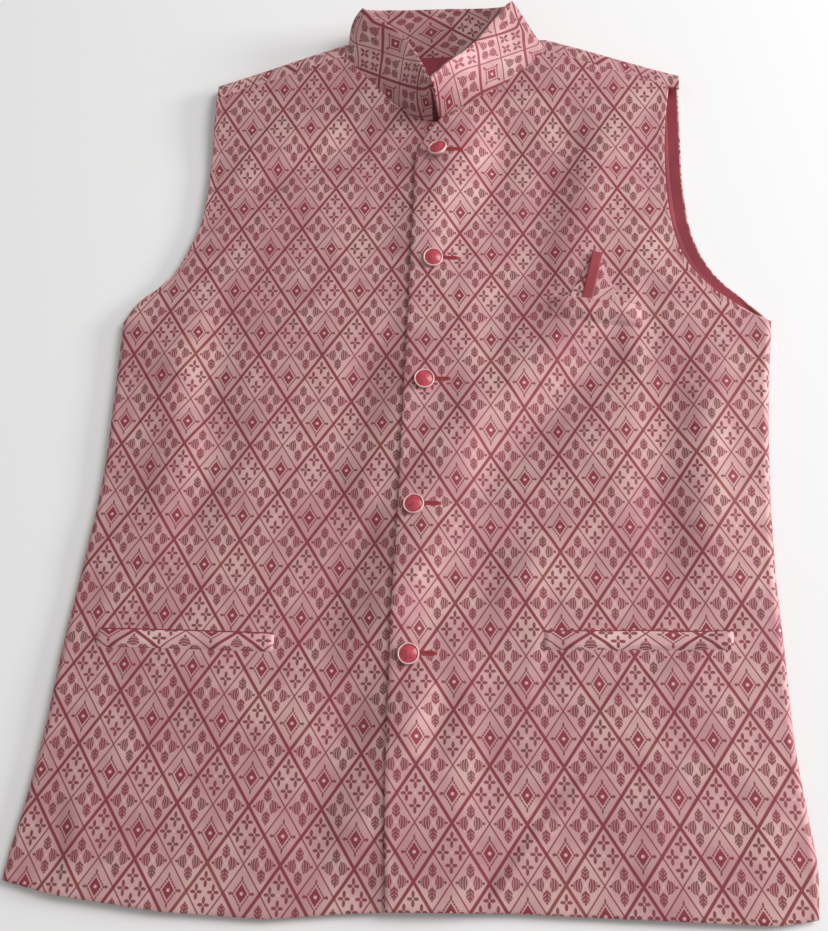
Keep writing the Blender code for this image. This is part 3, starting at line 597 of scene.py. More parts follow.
CENTIMETRES = 100.0          # in a metre, the brocade being drawn in them
CELL_WIDE = 2.68             # half the width and height of a lattice diamond
CELL_TALL = 4.05
LINE_SLOPE = math.hypot(0.5 / CELL_WIDE, 0.5 / CELL_TALL)
THICK_LINE = 0.118
THIN_LINE = 0.058
EDGE_SOFT = 0.020
FLOWER_ASIDE, FLOWER_UP = 0.62, 0.88     # of the four flowers, from their quarter's middle
PETAL_HALF = 0.120
SIDE_PETAL, SIDE_PETAL_LONG = 0.235, 0.195    # its middle from the flower's, and half its length
TALL_PETAL, TALL_PETAL_LONG = 0.315, 0.245
EAR, SPUR, DOTS = 0.80, 1.06, 5.5        # of the heart: its corner beads, and its ring's dots
LEAF_FOOT, LEAF_WIDEST, LEAF_HALF, RIBS = 0.31, 1.00, 0.285, 3.8
STEM_MIDDLE = 0.82
FAN_FOOT, FAN_WIDEST, FAN_HALF, BARS, FAN_BEAD = 0.20, 0.28, 0.49, 5.4, 0.92

GROUND_PINK = tint(194, 144, 148)
GROUND_CREAM = tint(212, 172, 169)
GROUND_GLINT = tint(226, 186, 180)
FIGURE_WINE = tint(132, 57, 67)
FIGURE_BROWN = tint(118, 71, 71)
LINE_RED = tint(133, 55, 64)
LINE_GOLD = tint(146, 88, 72)
HEART_RED = tint(140, 58, 69)


def brocade(name, deep=GROUND_PINK, pale=GROUND_CREAM):
    """Silk brocade: a lattice of large diamonds, each split in four, with woven figures."""
    cloth = Finish(name)
    spot, *way = cloth.cloth_spot()
    u, v = (level * CENTIMETRES for level in way)
    a, b = u / CELL_WIDE, v / CELL_TALL
    p, q = ((a + b) * 0.5).part() - 0.5, ((b - a) * 0.5).part() - 0.5
    far_p, far_q = p.size(), q.size()
    thick = (0.5 - far_p.most(far_q)) / LINE_SLOPE
    thin = far_p.least(far_q) / LINE_SLOPE
    upper = p > 0.0
    lower = 1.0 - upper
    stacked = (p * q) > 0.0
    in_p, in_q = far_p - 0.25, far_q - 0.25
    near, wide = (in_p - in_q).size(), (in_p + in_q).size()

    # Top quarter: four small flowers, a little taller than wide
    x, y = near * CELL_WIDE, wide * CELL_TALL
    above = (y * (2.0 * FLOWER_UP) - x * (2.0 * FLOWER_ASIDE)) > (
        FLOWER_UP ** 2 - FLOWER_ASIDE ** 2)
    from_x, from_y = (x - FLOWER_ASIDE * (1.0 - above)).size(), (y - FLOWER_UP * above).size()
    side_x, side_y = from_x / PETAL_HALF, from_y / PETAL_HALF
    end_x = (from_x - SIDE_PETAL) / SIDE_PETAL_LONG
    end_y = (from_y - TALL_PETAL) / TALL_PETAL_LONG
    petal = (end_x * end_x + side_y * side_y).least(end_y * end_y + side_x * side_x)
    flowers = petal.ramp(1.35, 0.70)
    centres = (from_x + from_y).ramp(0.14, 0.06) * 0.7

    # Bottom quarter: a solid heart in a dotted ring, with a bead at each corner
    depth = x / (CELL_WIDE / 2.0) + y / (CELL_TALL / 2.0)
    run = x / (CELL_WIDE / 2.0) - y / (CELL_TALL / 2.0)
    heart = depth.ramp(0.350, 0.310)
    pip = (x * x + y * y).ramp(0.026, 0.004)
    dots = ((run * DOTS).part() - 0.5).size().ramp(0.40, 0.26)
    ring = (depth - 0.470).size().ramp(0.074, 0.046) * (0.40 + 0.60 * dots)
    hairlines = ((depth * 11.0).part() - 0.5).size().ramp(0.34, 0.20) * (depth > 0.56) * 0.22
    off_ear, off_spur = x - EAR, y - SPUR
    ear = (off_ear * off_ear * 0.7 + y * y).ramp(0.020, 0.008)
    spur = (off_spur * off_spur * 0.35 + x * x * 1.4).ramp(0.012, 0.004)
    rings = ring.most(hairlines).most(ear).most(spur)
    heart = heart * lower * stacked
    pip = pip * lower * stacked

    # Left and right quarters: a cross of two fern leaves and two fans of curved bars
    across, along = wide * CELL_WIDE, near * CELL_TALL
    taper = (along - LEAF_WIDEST).most(0.0) * 0.85
    leaf_width = ((along - LEAF_FOOT) * 1.25).least(LEAF_HALF - taper)
    ribs = (((along - across * 0.95) * RIBS - 0.1).part() - 0.5).size().ramp(0.41, 0.29)
    leaf = (leaf_width - across).ramp(-0.02, 0.03) * (0.34 + 0.66 * ribs)
    stem = (along - STEM_MIDDLE).size().ramp(0.54, 0.44) * across.ramp(0.075, 0.035)
    past = (across - FAN_WIDEST).most(0.0)
    fan_height = ((across - FAN_FOOT) * 5.0).least(FAN_HALF - past * past * 0.95)
    fan = (fan_height - along).ramp(-0.02, 0.03) * across.ramp(0.83, 0.78)
    bars = (((across + along * along * 0.4) * BARS + 0.10).part() - 0.5).size().ramp(0.42, 0.30)
    fan = fan * (0.30 + 0.70 * bars)
    off_bead = across - FAN_BEAD
    bead = (off_bead * off_bead * 0.8 + along * along).ramp(0.016, 0.006)
    leaves = leaf.most(stem).most(fan).most(bead)

    figure = stacked * (flowers * upper).most(rings * lower) + (1.0 - stacked) * leaves
    bold = thick.ramp(THICK_LINE + EDGE_SOFT, THICK_LINE - EDGE_SOFT)
    fine = thin.ramp(THIN_LINE + EDGE_SOFT, THIN_LINE - EDGE_SOFT)
    glint = (x + y).ramp(0.16, 0.06) * (1.0 - stacked * lower)
    glint = glint.most(centres * stacked * upper)

    slow = cloth.noise(spot, 14.0, 2.0)
    patchy = cloth.noise(spot, 42.0, 3.0)
    worn = cloth.noise(spot, 150.0, 2.0)
    ground = cloth.mix((slow * 0.6 + patchy * 0.4).ramp(0.38, 0.66), deep, pale)
    ground = cloth.mix(glint * 0.7, ground, GROUND_GLINT)
    inked = cloth.mix(patchy.ramp(0.48, 0.70), FIGURE_WINE, FIGURE_BROWN)
    lines = cloth.mix(slow.ramp(0.56, 0.70) * 0.55, LINE_RED, LINE_GOLD)
    colour = cloth.mix(figure * (0.80 + 0.25 * worn), ground, inked)
    colour = cloth.mix(fine * 0.86, colour, FIGURE_WINE)
    colour = cloth.mix(bold * 0.96, colour, lines)
    colour = cloth.mix(heart, colour, HEART_RED)
    colour = cloth.mix(pip * 0.85, colour, GROUND_GLINT)

    # The figures stand a little proud of a ground of fine crossed threads
    raised = figure.most(bold).most(fine * 0.7).most(heart)
    warp, weft = (u * 125.0).sine(), (v * 105.0).sine()
    threads = warp * weft * 0.5 + (u * 70.0 + v * 70.0).sine() * 0.4
    relief = cloth.bump(threads, 0.00006, 0.30)
    relief = cloth.bump(raised, 0.00022, 0.55, relief)
    relief = cloth.bump(patchy, 0.0009, 0.25, relief)
    cloth.feed(cloth.shader, {
        "Base Color": colour, "Normal": relief,
        "Roughness": 0.56 - 0.08 * raised + 0.10 * (worn - 0.5), "Metallic": 0.14,
        "Specular IOR Level": 0.28, "Sheen Weight": 0.08, "Sheen Roughness": 0.45})
    return cloth.material


def satin(name, colour, shade):
    """Plain satin with fine slanting threads and slow unevenness."""
    cloth = Finish(name)
    spot, u, v = cloth.cloth_spot()
    slow = cloth.noise(spot, 22.0, 3.0)
    threads = ((u + v * 0.6) * 9000.0).sine()
    cross = (v * 7000.0).sine()
    relief = cloth.bump(threads * 0.6 + cross * 0.4, 0.00005, 0.35)
    relief = cloth.bump(slow, 0.0012, 0.30, relief)
    cloth.feed(cloth.shader, {
        "Base Color": cloth.mix(slow.ramp(0.35, 0.68), shade, colour), "Normal": relief,
        "Roughness": 0.46 + 0.12 * (slow - 0.5),
        "Specular IOR Level": 0.45, "Sheen Weight": 0.15, "Sheen Roughness": 0.4})
    return cloth.material


BROCADE = brocade("brocade")
LINING = satin("lining_satin", tint(148, 48, 62), tint(130, 40, 53))

# Where a thick crossing of the lattice lies on each front, and how far the lattice is turned
LATTICE = {1: ((-0.0025, 0.0218), 1.0), -1: ((-0.2598, 0.0303), -0.4)}


def lattice_spots(spots, crossing, degrees):
    """Pattern coordinates from a crossing, turned with the lattice."""
    turned = math.radians(degrees)
    x, y = spots[..., 0] - crossing[0], spots[..., 1] - crossing[1]
    return np.stack([x * math.cos(turned) + y * math.sin(turned),
                     y * math.cos(turned) - x * math.sin(turned)], axis=-1)


front_faces, front_panels = {}, {}
for side, name in ((1, "front_left"), (-1, "front_right")):
    face, pattern = front_grid(side)
    pattern = lattice_spots(pattern, *LATTICE[side])
    front_faces[side] = face
    if side < 0:
        face, pattern = face[:, ::-1], pattern[:, ::-1]
    panel = cloth_piece(f"{name}_cloth", face, pattern, SHELL, (BROCADE, LINING))
    wear(panel, "brocade", name)
    front_panels[side] = panel


# ---------------------------------------------------------------------------------------------
# Back. One panel, lined, that lies flat and wraps forward over the shoulders to its seams. The
# plain lining of its upper part shows inside the neck and the armhole.
# ---------------------------------------------------------------------------------------------
BACK_HEM = 0.0030
BACK_NECK_RISE = 0.002
BACK_NECK_SQUARENESS = 8
BACK_TOP = 18                # place where the bend over the shoulder starts
BACK_SIDE_STEPS, BACK_STEPS, WRAP_STEPS = 12, 6, 40
BACK_ROLL_COLUMNS = 6
SHOULDER_KNOTS, NECK_KNOTS, COLUMN_STEPS = 6, 17, 5
TURNED_IN = 1                # columns of the back's cloth that show inside its side edges
LINING_PLY = 0.0010
LINING_HEM, LINING_TOP = 8, 20    # its lowest place, and its rows short of the shoulder seam
LINING_WAVER, LINING_WAVER_SIZE = 0.0002, 0.03
BACK_ARMHOLE = {
    1: ((0.271, 0.466), (0.252, 0.486), (0.233, 0.504), (0.220, 0.523), (0.212, 0.543),
        (0.207, 0.565), (0.204, 0.603), (0.2035, 0.645), (0.2035, 0.700)),
    -1: ((-0.272, 0.467), (-0.254, 0.484), (-0.236, 0.501), (-0.224, 0.520), (-0.214, 0.543),
         (-0.208, 0.568), (-0.206, 0.606), (-0.207, 0.650), (-0.2105, 0.700)),
}
BACK_FOLDS = (
    Fold(((-0.180, 0.560), (-0.120, 0.540), (-0.060, 0.500)), 0.012, 0.0008),
    Fold(((0.170, 0.580), (0.120, 0.560), (0.060, 0.520)), 0.012, 0.0008),
    Fold(((-0.240, 0.300), (-0.180, 0.280), (-0.120, 0.240)), 0.011, 0.0007),
    Fold(((0.220, 0.320), (0.150, 0.300), (0.090, 0.260)), 0.011, 0.0008),
    Fold(((-0.060, 0.420), (-0.010, 0.400), (0.040, 0.360)), 0.013, 0.0006),
    Fold(((-0.150, 0.160), (-0.125, 0.100), (-0.110, 0.030)), 0.012, 0.0007),
    Fold(((0.100, 0.170), (0.125, 0.110), (0.140, 0.030)), 0.012, 0.0007),
)
BACK_CROSSING = (NECK_CENTRE, 0.7200)    # of the lattice, at the nape
BACK_FOLDS_WITHIN = (-0.26, 0.25)
BACK_FOLDS_FADE = 0.03


def shoulder_wrap(x, travel):
    """The back's way over a shoulder: Y past the start of the bend, and height."""
    radius = shoulder_height(x) / 2.0
    turn = np.minimum(travel / radius, math.pi)
    past = np.maximum(travel - math.pi * radius, 0.0)
    return radius * np.sin(turn) - past, radius * (1.0 - np.cos(turn))


def wrap_start(x):
    """Y where the back leaves the surface to go over the shoulder."""
    return shoulder_fold(x) - shoulder_height(x) / 2.0


def wrap_length(x):
    """How far the back travels past the bend's start, at X."""
    seam = math.pi * shoulder_height(x) / 2.0 + wrap_start(x) - shoulder_fold(x) + SEAM_FORWARD
    inside = np.clip(abs(x - NECK_CENTRE) / NECK_HALF, 0.0, 1.0) ** BACK_NECK_SQUARENESS
    return (seam - SEAM_GAP) * inside + BACK_NECK_RISE * (1.0 - inside)


def back_grid():
    """Outer face of the back and its pattern: rows up from the hem, columns left to right."""
    places = stops((SIDE_END, BACK_SIDE_STEPS), (BACK_TOP - SIDE_END, BACK_STEPS))
    edges = {side: edge_runs(((SIDE[side], SIDE_END), (BACK_ARMHOLE[side], BACK_TOP)), places)
             for side in (-1, 1)}
    climb = past_side(edges[1], places)
    across = np.sin(np.linspace(-math.pi / 2.0, math.pi / 2.0, NECK_KNOTS))
    neck = NECK_CENTRE + NECK_HALF * across
    knots = np.concatenate([
        np.linspace(edges[-1][-1][0] + SIDE_ROLL, NECK_CENTRE - NECK_HALF, SHOULDER_KNOTS),
        neck[1:-1],
        np.linspace(NECK_CENTRE + NECK_HALF, edges[1][-1][0] - SIDE_ROLL, SHOULDER_KNOTS)])
    inner = np.interp(np.arange((len(knots) - 1) * COLUMN_STEPS + 1) / COLUMN_STEPS,
                      np.arange(len(knots)), knots)
    part = (inner - inner[0]) / (inner[-1] - inner[0])
    turn = quarter_turn(BACK_ROLL_COLUMNS)
    drop = 1.0 - np.cos(turn)
    rise = np.concatenate([drop[::-1], np.zeros(len(inner)), drop])
    rows, pattern = [], []
    for (x0, y0), (x1, y1), distance in zip(edges[-1], edges[1], climb):
        share = roll_share(distance)
        bend = SIDE_ROLL * (share * np.sin(turn) + (1.0 - share) * turn / (math.pi / 2.0))
        flat = (x0 + SIDE_ROLL) + (x1 - x0 - 2.0 * SIDE_ROLL) * part
        x = np.concatenate([(flat[0] - bend)[::-1], flat, flat[-1] + bend])
        y = y0 + (y1 - y0) * (x - x0) / (x1 - x0)
        z = share * rise * (SIDE_SEAM_HEIGHT - SIDE_GAP)
        rows.append(np.column_stack([x, y, z]))
        pattern.append(np.concatenate([(flat[0] - SIDE_ROLL * turn)[::-1], flat,
                                       flat[-1] + SIDE_ROLL * turn]))
    rows = np.array(rows)
    rows[:, :, 1] += BACK_HEM * (1.0 - smooth(rows[:, :, 1] / HEM_REACH))
    level = ((places - SIDE_END) / (BACK_TOP - SIDE_END))[:, None]
    rows[:, :, 1] += (wrap_start(rows[-1, :, 0]) - rows[-1, :, 1]) * smooth(level)
    left, right = BACK_FOLDS_WITHIN
    inside = smooth((rows[:, :, 0] - left) / BACK_FOLDS_FADE) * smooth(
        (right - rows[:, :, 0]) / BACK_FOLDS_FADE)
    rows[:, :, 2] += fold_height(rows[:, :, 0], rows[:, :, 1], BACK_FOLDS) * inside
    pattern = np.dstack([np.array(pattern), rows[:, :, 1]])
    x = rows[-1, :, 0]
    wraps, wrapped = [], []
    for share in np.arange(1, WRAP_STEPS + 1) / WRAP_STEPS:
        travel = wrap_length(x) * share
        past, height = shoulder_wrap(x, travel)
        wraps.append(np.column_stack([x, wrap_start(x) + past, height]))
        wrapped.append(pattern[-1] + np.column_stack([np.zeros_like(x), travel]))
    return np.concatenate([rows, np.array(wraps)]) + ORIGIN, np.concatenate([pattern, wrapped])


back_points, back_pattern = back_grid()
back_points, back_pattern = back_points[:, ::-1], back_pattern[:, ::-1]
back_pattern = lattice_spots(back_pattern, BACK_CROSSING, 0.0)
back_panel = cloth_piece("back_cloth", back_points, back_pattern, SHELL, (BROCADE, LINING))
wear(back_panel, "brocade", "back")

# The brocade is turned in round the sides and the armholes, over the lining's edge
kinds = np.zeros(len(back_panel.data.polygons), np.int32)
back_panel.data.polygons.foreach_get("material_index", kinds)
deep, wide = back_points.shape[0] - 1, back_points.shape[1] - 1
insides = kinds[deep * wide:2 * deep * wide].reshape(deep, wide)
insides[:, :TURNED_IN] = 0
insides[:, -TURNED_IN:] = 0
back_panel.data.polygons.foreach_set("material_index", kinds)

edge = BACK_ROLL_COLUMNS + 1
lined = (slice(LINING_HEM * BACK_SIDE_STEPS, -LINING_TOP), slice(edge, -edge))
within = (back_points - normals(back_points) * (SHELL + SEAM_GAP))[lined]
within[:, :, 2] += LINING_WAVER * waver(*within[:, :, :2].transpose(2, 0, 1), LINING_WAVER_SIZE,
                                        seed=3.1)
lining_piece = cloth_piece("back_lining_cloth", within, back_pattern[lined], LINING_PLY,
                           (LINING, LINING))
wear(lining_piece, "lining", "back_lining")


# ---------------------------------------------------------------------------------------------
# Stand collar. Two stiffened plies of brocade in one band, sewn to the neckline, its ends a
# finger's breadth apart in front. The back of the band leans inward and shows its inner ply.
# ---------------------------------------------------------------------------------------------
COLLAR_PLY = 0.0014
COLLAR_BASE = -0.02          # the part of its width where it starts, tucked below the seam
COLLAR_INSET = 0.0006
COLLAR_END_SHORT = 0.0050
COLLAR_GAP = 0.0005
COLLAR_KNOTS = 74
COLLAR_FINE = 5              # steps between two knots
COLLAR_SAMPLES = 400
COLLAR_ROWS = 22
COLLAR_CROWN = 0.0006
COLLAR_ROLL, COLLAR_ROLL_START = 0.0008, 0.86    # of its top edge, and where that begins
COLLAR_EVENINGS = 3          # how often its leans are evened out

# Where the band's top stands from its seam, by the place along each half from its front end to
# the middle of the back: how far inward, back and up, and how far it bows out between the two
Lean = namedtuple("Lean", "place inward back up bulge", defaults=(0.0,))
COLLAR_TOP = {
    1: (Lean(0.00, 0.004, 0.011, 0.0400), Lean(0.12, 0.013, 0.018, 0.0355),
        Lean(0.25, 0.021, 0.021, 0.0300), Lean(0.38, 0.032, 0.023, 0.0235),
        Lean(0.48, 0.042, 0.023, 0.0200), Lean(0.545, 0.042, 0.030, 0.0175),
        Lean(0.58, 0.029, 0.031, 0.0165), Lean(0.61, 0.018, 0.030, 0.0160),
        Lean(0.65, 0.015, 0.033, 0.0185), Lean(0.71, 0.012, 0.036, 0.0205),
        Lean(0.78, 0.009, 0.037, 0.0200), Lean(0.90, 0.004, 0.038, 0.0185),
        Lean(1.00, 0.000, 0.039, 0.0180)),
    -1: (Lean(0.00, 0.000, 0.013, 0.0390), Lean(0.04, 0.005, 0.014, 0.0385),
         Lean(0.08, 0.012, 0.016, 0.0365), Lean(0.14, 0.020, 0.0185, 0.0325),
         Lean(0.19, 0.025, 0.021, 0.0290), Lean(0.25, 0.030, 0.022, 0.0265),
         Lean(0.33, 0.035, 0.022, 0.0240), Lean(0.41, 0.0385, 0.020, 0.0225),
         Lean(0.47, 0.036, 0.021, 0.0220, 0.001), Lean(0.50, 0.033, 0.023, 0.0225, 0.003),
         Lean(0.525, 0.023, 0.022, 0.0245, 0.005), Lean(0.55, 0.013, 0.018, 0.0280, 0.006),
         Lean(0.58, 0.006, 0.0145, 0.0300, 0.006), Lean(0.61, 0.004, 0.018, 0.0300, 0.004),
         Lean(0.66, 0.005, 0.0285, 0.0270, 0.001), Lean(0.71, 0.005, 0.035, 0.0240),
         Lean(0.78, 0.0045, 0.037, 0.0205), Lean(0.90, 0.002, 0.038, 0.0190),
         Lean(1.00, 0.000, 0.039, 0.0180)),
}

# The band's lower edge on the uncut cloth, from the upper end to the lower one, and how much
# the band is eased in at the two ends
COLLAR_CUT = (
    (-0.005, 0.006), (0.026, 0.035), (0.045, 0.073), (0.057, 0.115), (0.061, 0.158),
    (0.054, 0.200), (0.036, 0.238), (0.013, 0.275), (-0.006, 0.313), (-0.015, 0.355),
    (-0.027, 0.397), (-0.042, 0.437),
)
COLLAR_EASE = (0.36, 0.23)
COLLAR_EASE_PART = 0.14
INNER_CROSSING = (0.2174, 0.0252)    # of the lattice on the inner ply, cut straight
INNER_TURN = -97.0


def collar_grid():
    """Outer face of the collar, rows from seam to top, and its pattern's coordinates."""
    first = BACK_ROLL_COLUMNS + (SHOULDER_KNOTS - 1) * COLUMN_STEPS
    last = first + (NECK_KNOTS - 1) * COLUMN_STEPS
    behind = back_points[-1, ::-1][first:last + 1:COLUMN_STEPS][::-1]
    start = -(FRONT_TOP - SLANT_END) * NECK_STEPS - 1
    left, right = (front_faces[side][start:-1:NECK_STEPS, 0] for side in (1, -1))
    even = curve(np.vstack([left, behind, right[::-1]]), np.linspace(0.0, 1.0, COLLAR_SAMPLES))
    length = run_length(even)
    wanted = np.linspace(0.0, length[-1] - COLLAR_END_SHORT, COLLAR_KNOTS)
    seam = np.column_stack([np.interp(wanted, length, axis) for axis in even.T])
    around = np.linspace(-1.0, 1.0, COLLAR_KNOTS)
    leans = []
    for position in around:
        side = 1 if position < 0.0 else -1
        table = np.array(COLLAR_TOP[side])
        lean = [np.interp(1.0 - abs(position), table[:, 0], column) for column in table.T[1:]]
        leans.append([-side * lean[0], lean[1], lean[2], side * lean[3]])
    leans = np.array(leans)
    for _ in range(COLLAR_EVENINGS):
        leans[1:-1] = (leans[:-2] + 2.0 * leans[1:-1] + leans[2:]) / 4.0
    fine = np.linspace(0.0, 1.0, (COLLAR_KNOTS - 1) * COLLAR_FINE + 1)
    knots = curve(np.column_stack([seam, leans]), fine)
    seam, to_top, bulge = knots[:, :3], knots[:, 3:6], knots[:, 6]
    parts = np.linspace(COLLAR_BASE, 1.0, COLLAR_ROWS)
    face = np.array([seam + to_top * part for part in parts])
    face[:, :, 0] += bulge * np.sin(parts * math.pi)[:, None]
    crown = COLLAR_CROWN * np.sin(parts * math.pi)[:, None, None]
    roll = smooth((parts - COLLAR_ROLL_START) / (1.0 - COLLAR_ROLL_START))[:, None, None]
    roll = roll * COLLAR_ROLL
    face = face + normals(face) * (crown - roll - COLLAR_INSET)
    along = run_length(seam) / run_length(seam)[-1]
    lower_edge = curve(COLLAR_CUT, along)
    cut = np.gradient(lower_edge, axis=0)
    cut = np.column_stack([-cut[:, 1], cut[:, 0]]) / np.linalg.norm(cut, axis=1)[:, None]
    eased = (1.0 - COLLAR_EASE[0] * np.clip(1.0 - along / COLLAR_EASE_PART, 0.0, 1.0)
             - COLLAR_EASE[1] * np.clip(1.0 - (1.0 - along) / COLLAR_EASE_PART, 0.0, 1.0))
    tall = np.linalg.norm(to_top, axis=1) * eased
    spots = lower_edge + cut * tall[:, None] * parts[:, None, None]
    places = np.dstack([np.broadcast_to(run_length(seam), face.shape[:2]),
                        parts[:, None] * np.linalg.norm(to_top, axis=1)])
    return face, spots, places


outer_face, outer_pattern, collar_places = collar_grid()
inner_face = outer_face - normals(outer_face) * (COLLAR_PLY + COLLAR_GAP)
inner_pattern = lattice_spots(collar_places, INNER_CROSSING, INNER_TURN)
for name, face, pattern in (("collar_outer", outer_face, outer_pattern),
                            ("collar_inner", inner_face, inner_pattern)):
    ply = cloth_piece(f"{name}_cloth", face, pattern, COLLAR_PLY, (BROCADE, BROCADE),
                      roundness=0.6)
    wear(ply, "collar_brocade", name)


# ---------------------------------------------------------------------------------------------
# Pockets. Two slim welts at the waist cut across the grain, sewn down on three sides below a
# mouth drawn as a fine strip of lining, its dark line partly painted shade of the open mouth,
# and a chest welt from which a folded square of the same brocade stands up, with a plain red
# strip down its fold.
# ---------------------------------------------------------------------------------------------
LAID_GAP = 0.0003
WELT_PLY = 0.0013
WELT_HEIGHT = 0.013
WELT_SETTLE = 0.0035         # over which a sewn edge sinks level with the panel
WELT_END = 0.0022            # and a welt's end
SETTLED = WELT_PLY - 0.00015
WELT_ROWS, WELT_COLUMNS = 11, 100
Welt = namedtuple("Welt", "side start end shift")    # shift of the lattice along the welt
WELTS = {
    "welt_left": Welt(1, (0.089, 0.2035), (0.227, 0.2065), 0.0339),
    "welt_right": Welt(-1, (-0.256, 0.1985), (-0.118, 0.1975), 0.0296),
}
MOUTH_WIDTH = 0.0013
MOUTH_ABOVE = 0.0003         # of the welt's edge
MOUTH_GAP, MOUTH_PLY = 0.0001, 0.0002
MOUTH_ROWS, MOUTH_COLUMNS = 3, 60
CHEST_MOUTH = ((0.0900, 0.4855), (0.1665, 0.4780))
CHEST_WELT_HEIGHT = 0.019
CHEST_ROWS, CHEST_COLUMNS = 18, 60
SQUARE_PLY = 0.0010
SQUARE_TIP = ((0.1285, 0.5300), (0.1315, 0.5300))
SQUARE_BASE = ((0.1050, 0.4800), (0.1500, 0.4760))
SQUARE_TUCK = 0.0078         # below the chest mouth, where the welt stands clear of the square
SQUARE_CROSSING, SQUARE_TURN = (0.118, 0.502), -14.0
SQUARE_PUFF = 0.0011
PUFF_START, PUFF_RISE = 0.15, 0.35    # in parts of the square's height
SQUARE_ROWS, SQUARE_COLUMNS = 34, 30
STRIP = ((0.1166, 0.4776), (0.1268, 0.5281))
STRIP_WIDTH = 0.0082
STRIP_ROWS, STRIP_COLUMNS = 8, 34


def surface_of(made):
    """A search tree of a piece's faces."""
    made.data.calc_loop_triangles()
    return BVHTree.FromPolygons([vertex.co for vertex in made.data.vertices],
                                [triangle.vertices for triangle in made.data.loop_triangles])


def under(tree, x, y):
    """The point of a panel's outer face at X and Y from the pattern's zero, and its normal."""
    above = Vector((x + ORIGIN[0], y + ORIGIN[1], 0.2))
    return tree.ray_cast(above, Vector((0.0, 0.0, -1.0)))[:2]


def laid_piece(name, tree, flat, above, thickness, finishes, pattern, roundness=0.6):
    """A piece lying on a panel: a grid of X and Y, its height above the panel, its pattern."""
    above = np.broadcast_to(above, flat.shape[:2])
    lower = np.zeros((*flat.shape[:2], 3))
    for r, c in np.ndindex(*flat.shape[:2]):
        spot, normal = under(tree, *flat[r, c])
        lower[r, c] = spot + normal * above[r, c]
    upper = lower + normals(lower) * thickness
    return cloth_piece(name, upper, pattern, thickness, finishes, roundness)


def band(start, end, width, rows, columns):
    """X and Y of a band whose upper edge runs from start to end, lower edge first."""
    start, end = np.array(start), np.array(end)
    along = (end - start) / np.linalg.norm(end - start)
    down = np.array([along[1], -along[0]])
    drops = np.linspace(width, 0.0, rows)
    return np.array([[start + (end - start) * t + down * drop
                      for t in np.linspace(0.0, 1.0, columns)] for drop in drops])


def sewn_down(above, share):
    """Height of a ply over its panel: level with it where the share is 0, above it where 1."""
    return above * share - SETTLED * (1.0 - share)


def puffed(up):
    """How full the square is at a part of its height."""
    return smooth((up - PUFF_START) / PUFF_RISE)


# The waist welts' brocade, its ground painted lighter: painted sheen of the cloth cut across the
# grain.
CROSSWISE_SHEEN = brocade("crosswise_sheen_brocade", tint(208, 162, 164), tint(228, 192, 188))
STRIP_SATIN = satin("strip_satin", tint(158, 56, 68), tint(144, 48, 60))
trees = {side: surface_of(panel) for side, panel in front_panels.items()}

for name, (side, start, end, shift) in WELTS.items():
    flat = band(start, end, WELT_HEIGHT, WELT_ROWS, WELT_COLUMNS)
    from_end = np.minimum(flat[:, :, 0] - start[0], end[0] - flat[:, :, 0])
    from_foot = np.linspace(0.0, WELT_HEIGHT, WELT_ROWS)[:, None]
    sewn = smooth(from_foot / WELT_SETTLE) * smooth(from_end / WELT_END)
    across_grain = lattice_spots(flat, (start[0] + shift, start[1]), 90.0)
    welt = laid_piece(f"{name}_cloth", trees[side], flat, sewn_down(LAID_GAP, sewn), WELT_PLY,
                      (CROSSWISE_SHEEN, CROSSWISE_SHEEN), across_grain)
    wear(welt, "brocade", name)
    # A thin strip of lining satin along each welt's mouth: partly the lining, partly painted shade
    # inside the open mouth.
    raised = np.array((start, end)) + (0.0, MOUTH_WIDTH + MOUTH_ABOVE)
    flat = band(*raised, MOUTH_WIDTH, MOUTH_ROWS, MOUTH_COLUMNS)
    mouth = laid_piece(f"{name}_mouth", trees[side], flat, MOUTH_GAP, MOUTH_PLY,
                       (LINING, LINING), flat)
    wear(mouth, "lining")

up = np.linspace(0.0, 1.0, SQUARE_ROWS)[:, None, None]
across = np.linspace(0.0, 1.0, SQUARE_COLUMNS)[None, :, None]
base, tip = np.array(SQUARE_BASE), np.array(SQUARE_TIP)
flat = (base[0] + (base[1] - base[0]) * across) * (1.0 - up)
flat = flat + (tip[0] + (tip[1] - tip[0]) * across) * up
puff = SQUARE_PUFF * (np.sin(across * math.pi) * puffed(up))[:, :, 0]
square = laid_piece("square_fold_cloth", trees[1], flat, LAID_GAP + puff, SQUARE_PLY,
                    (BROCADE, BROCADE), lattice_spots(flat, SQUARE_CROSSING, SQUARE_TURN))
wear(square, "brocade", "square_fold")
flat = band(*STRIP, STRIP_WIDTH, STRIP_ROWS, STRIP_COLUMNS)
lift = SQUARE_PUFF * puffed(np.linspace(0.0, 1.0, STRIP_COLUMNS))[None, :]
strip = laid_piece("square_strip_cloth", trees[1], flat, LAID_GAP * 2.0 + SQUARE_PLY + lift,
                   SQUARE_PLY, (STRIP_SATIN, STRIP_SATIN), flat)
wear(strip, "strip", "square_strip")

flat = band(*CHEST_MOUTH, CHEST_WELT_HEIGHT, CHEST_ROWS, CHEST_COLUMNS)
left, right = flat[:, :, 0] - CHEST_MOUTH[0][0], CHEST_MOUTH[1][0] - flat[:, :, 0]
from_foot = np.linspace(0.0, CHEST_WELT_HEIGHT, CHEST_ROWS)[:, None]
over_square = smooth(left / (base[0][0] - CHEST_MOUTH[0][0])) * smooth(
    right / (CHEST_MOUTH[1][0] - base[1][0])) * smooth(
    from_foot / (CHEST_WELT_HEIGHT - SQUARE_TUCK))
above = LAID_GAP + (LAID_GAP + SQUARE_PLY) * 2.0 * over_square
sewn = smooth(np.minimum(np.minimum(left, right), from_foot) / WELT_SETTLE)
chest_welt = laid_piece("chest_welt_cloth", trees[1], flat, sewn_down(above, sewn), WELT_PLY,
                        (BROCADE, BROCADE), lattice_spots(flat, *LATTICE[1]))
wear(chest_welt, "brocade", "chest_welt")


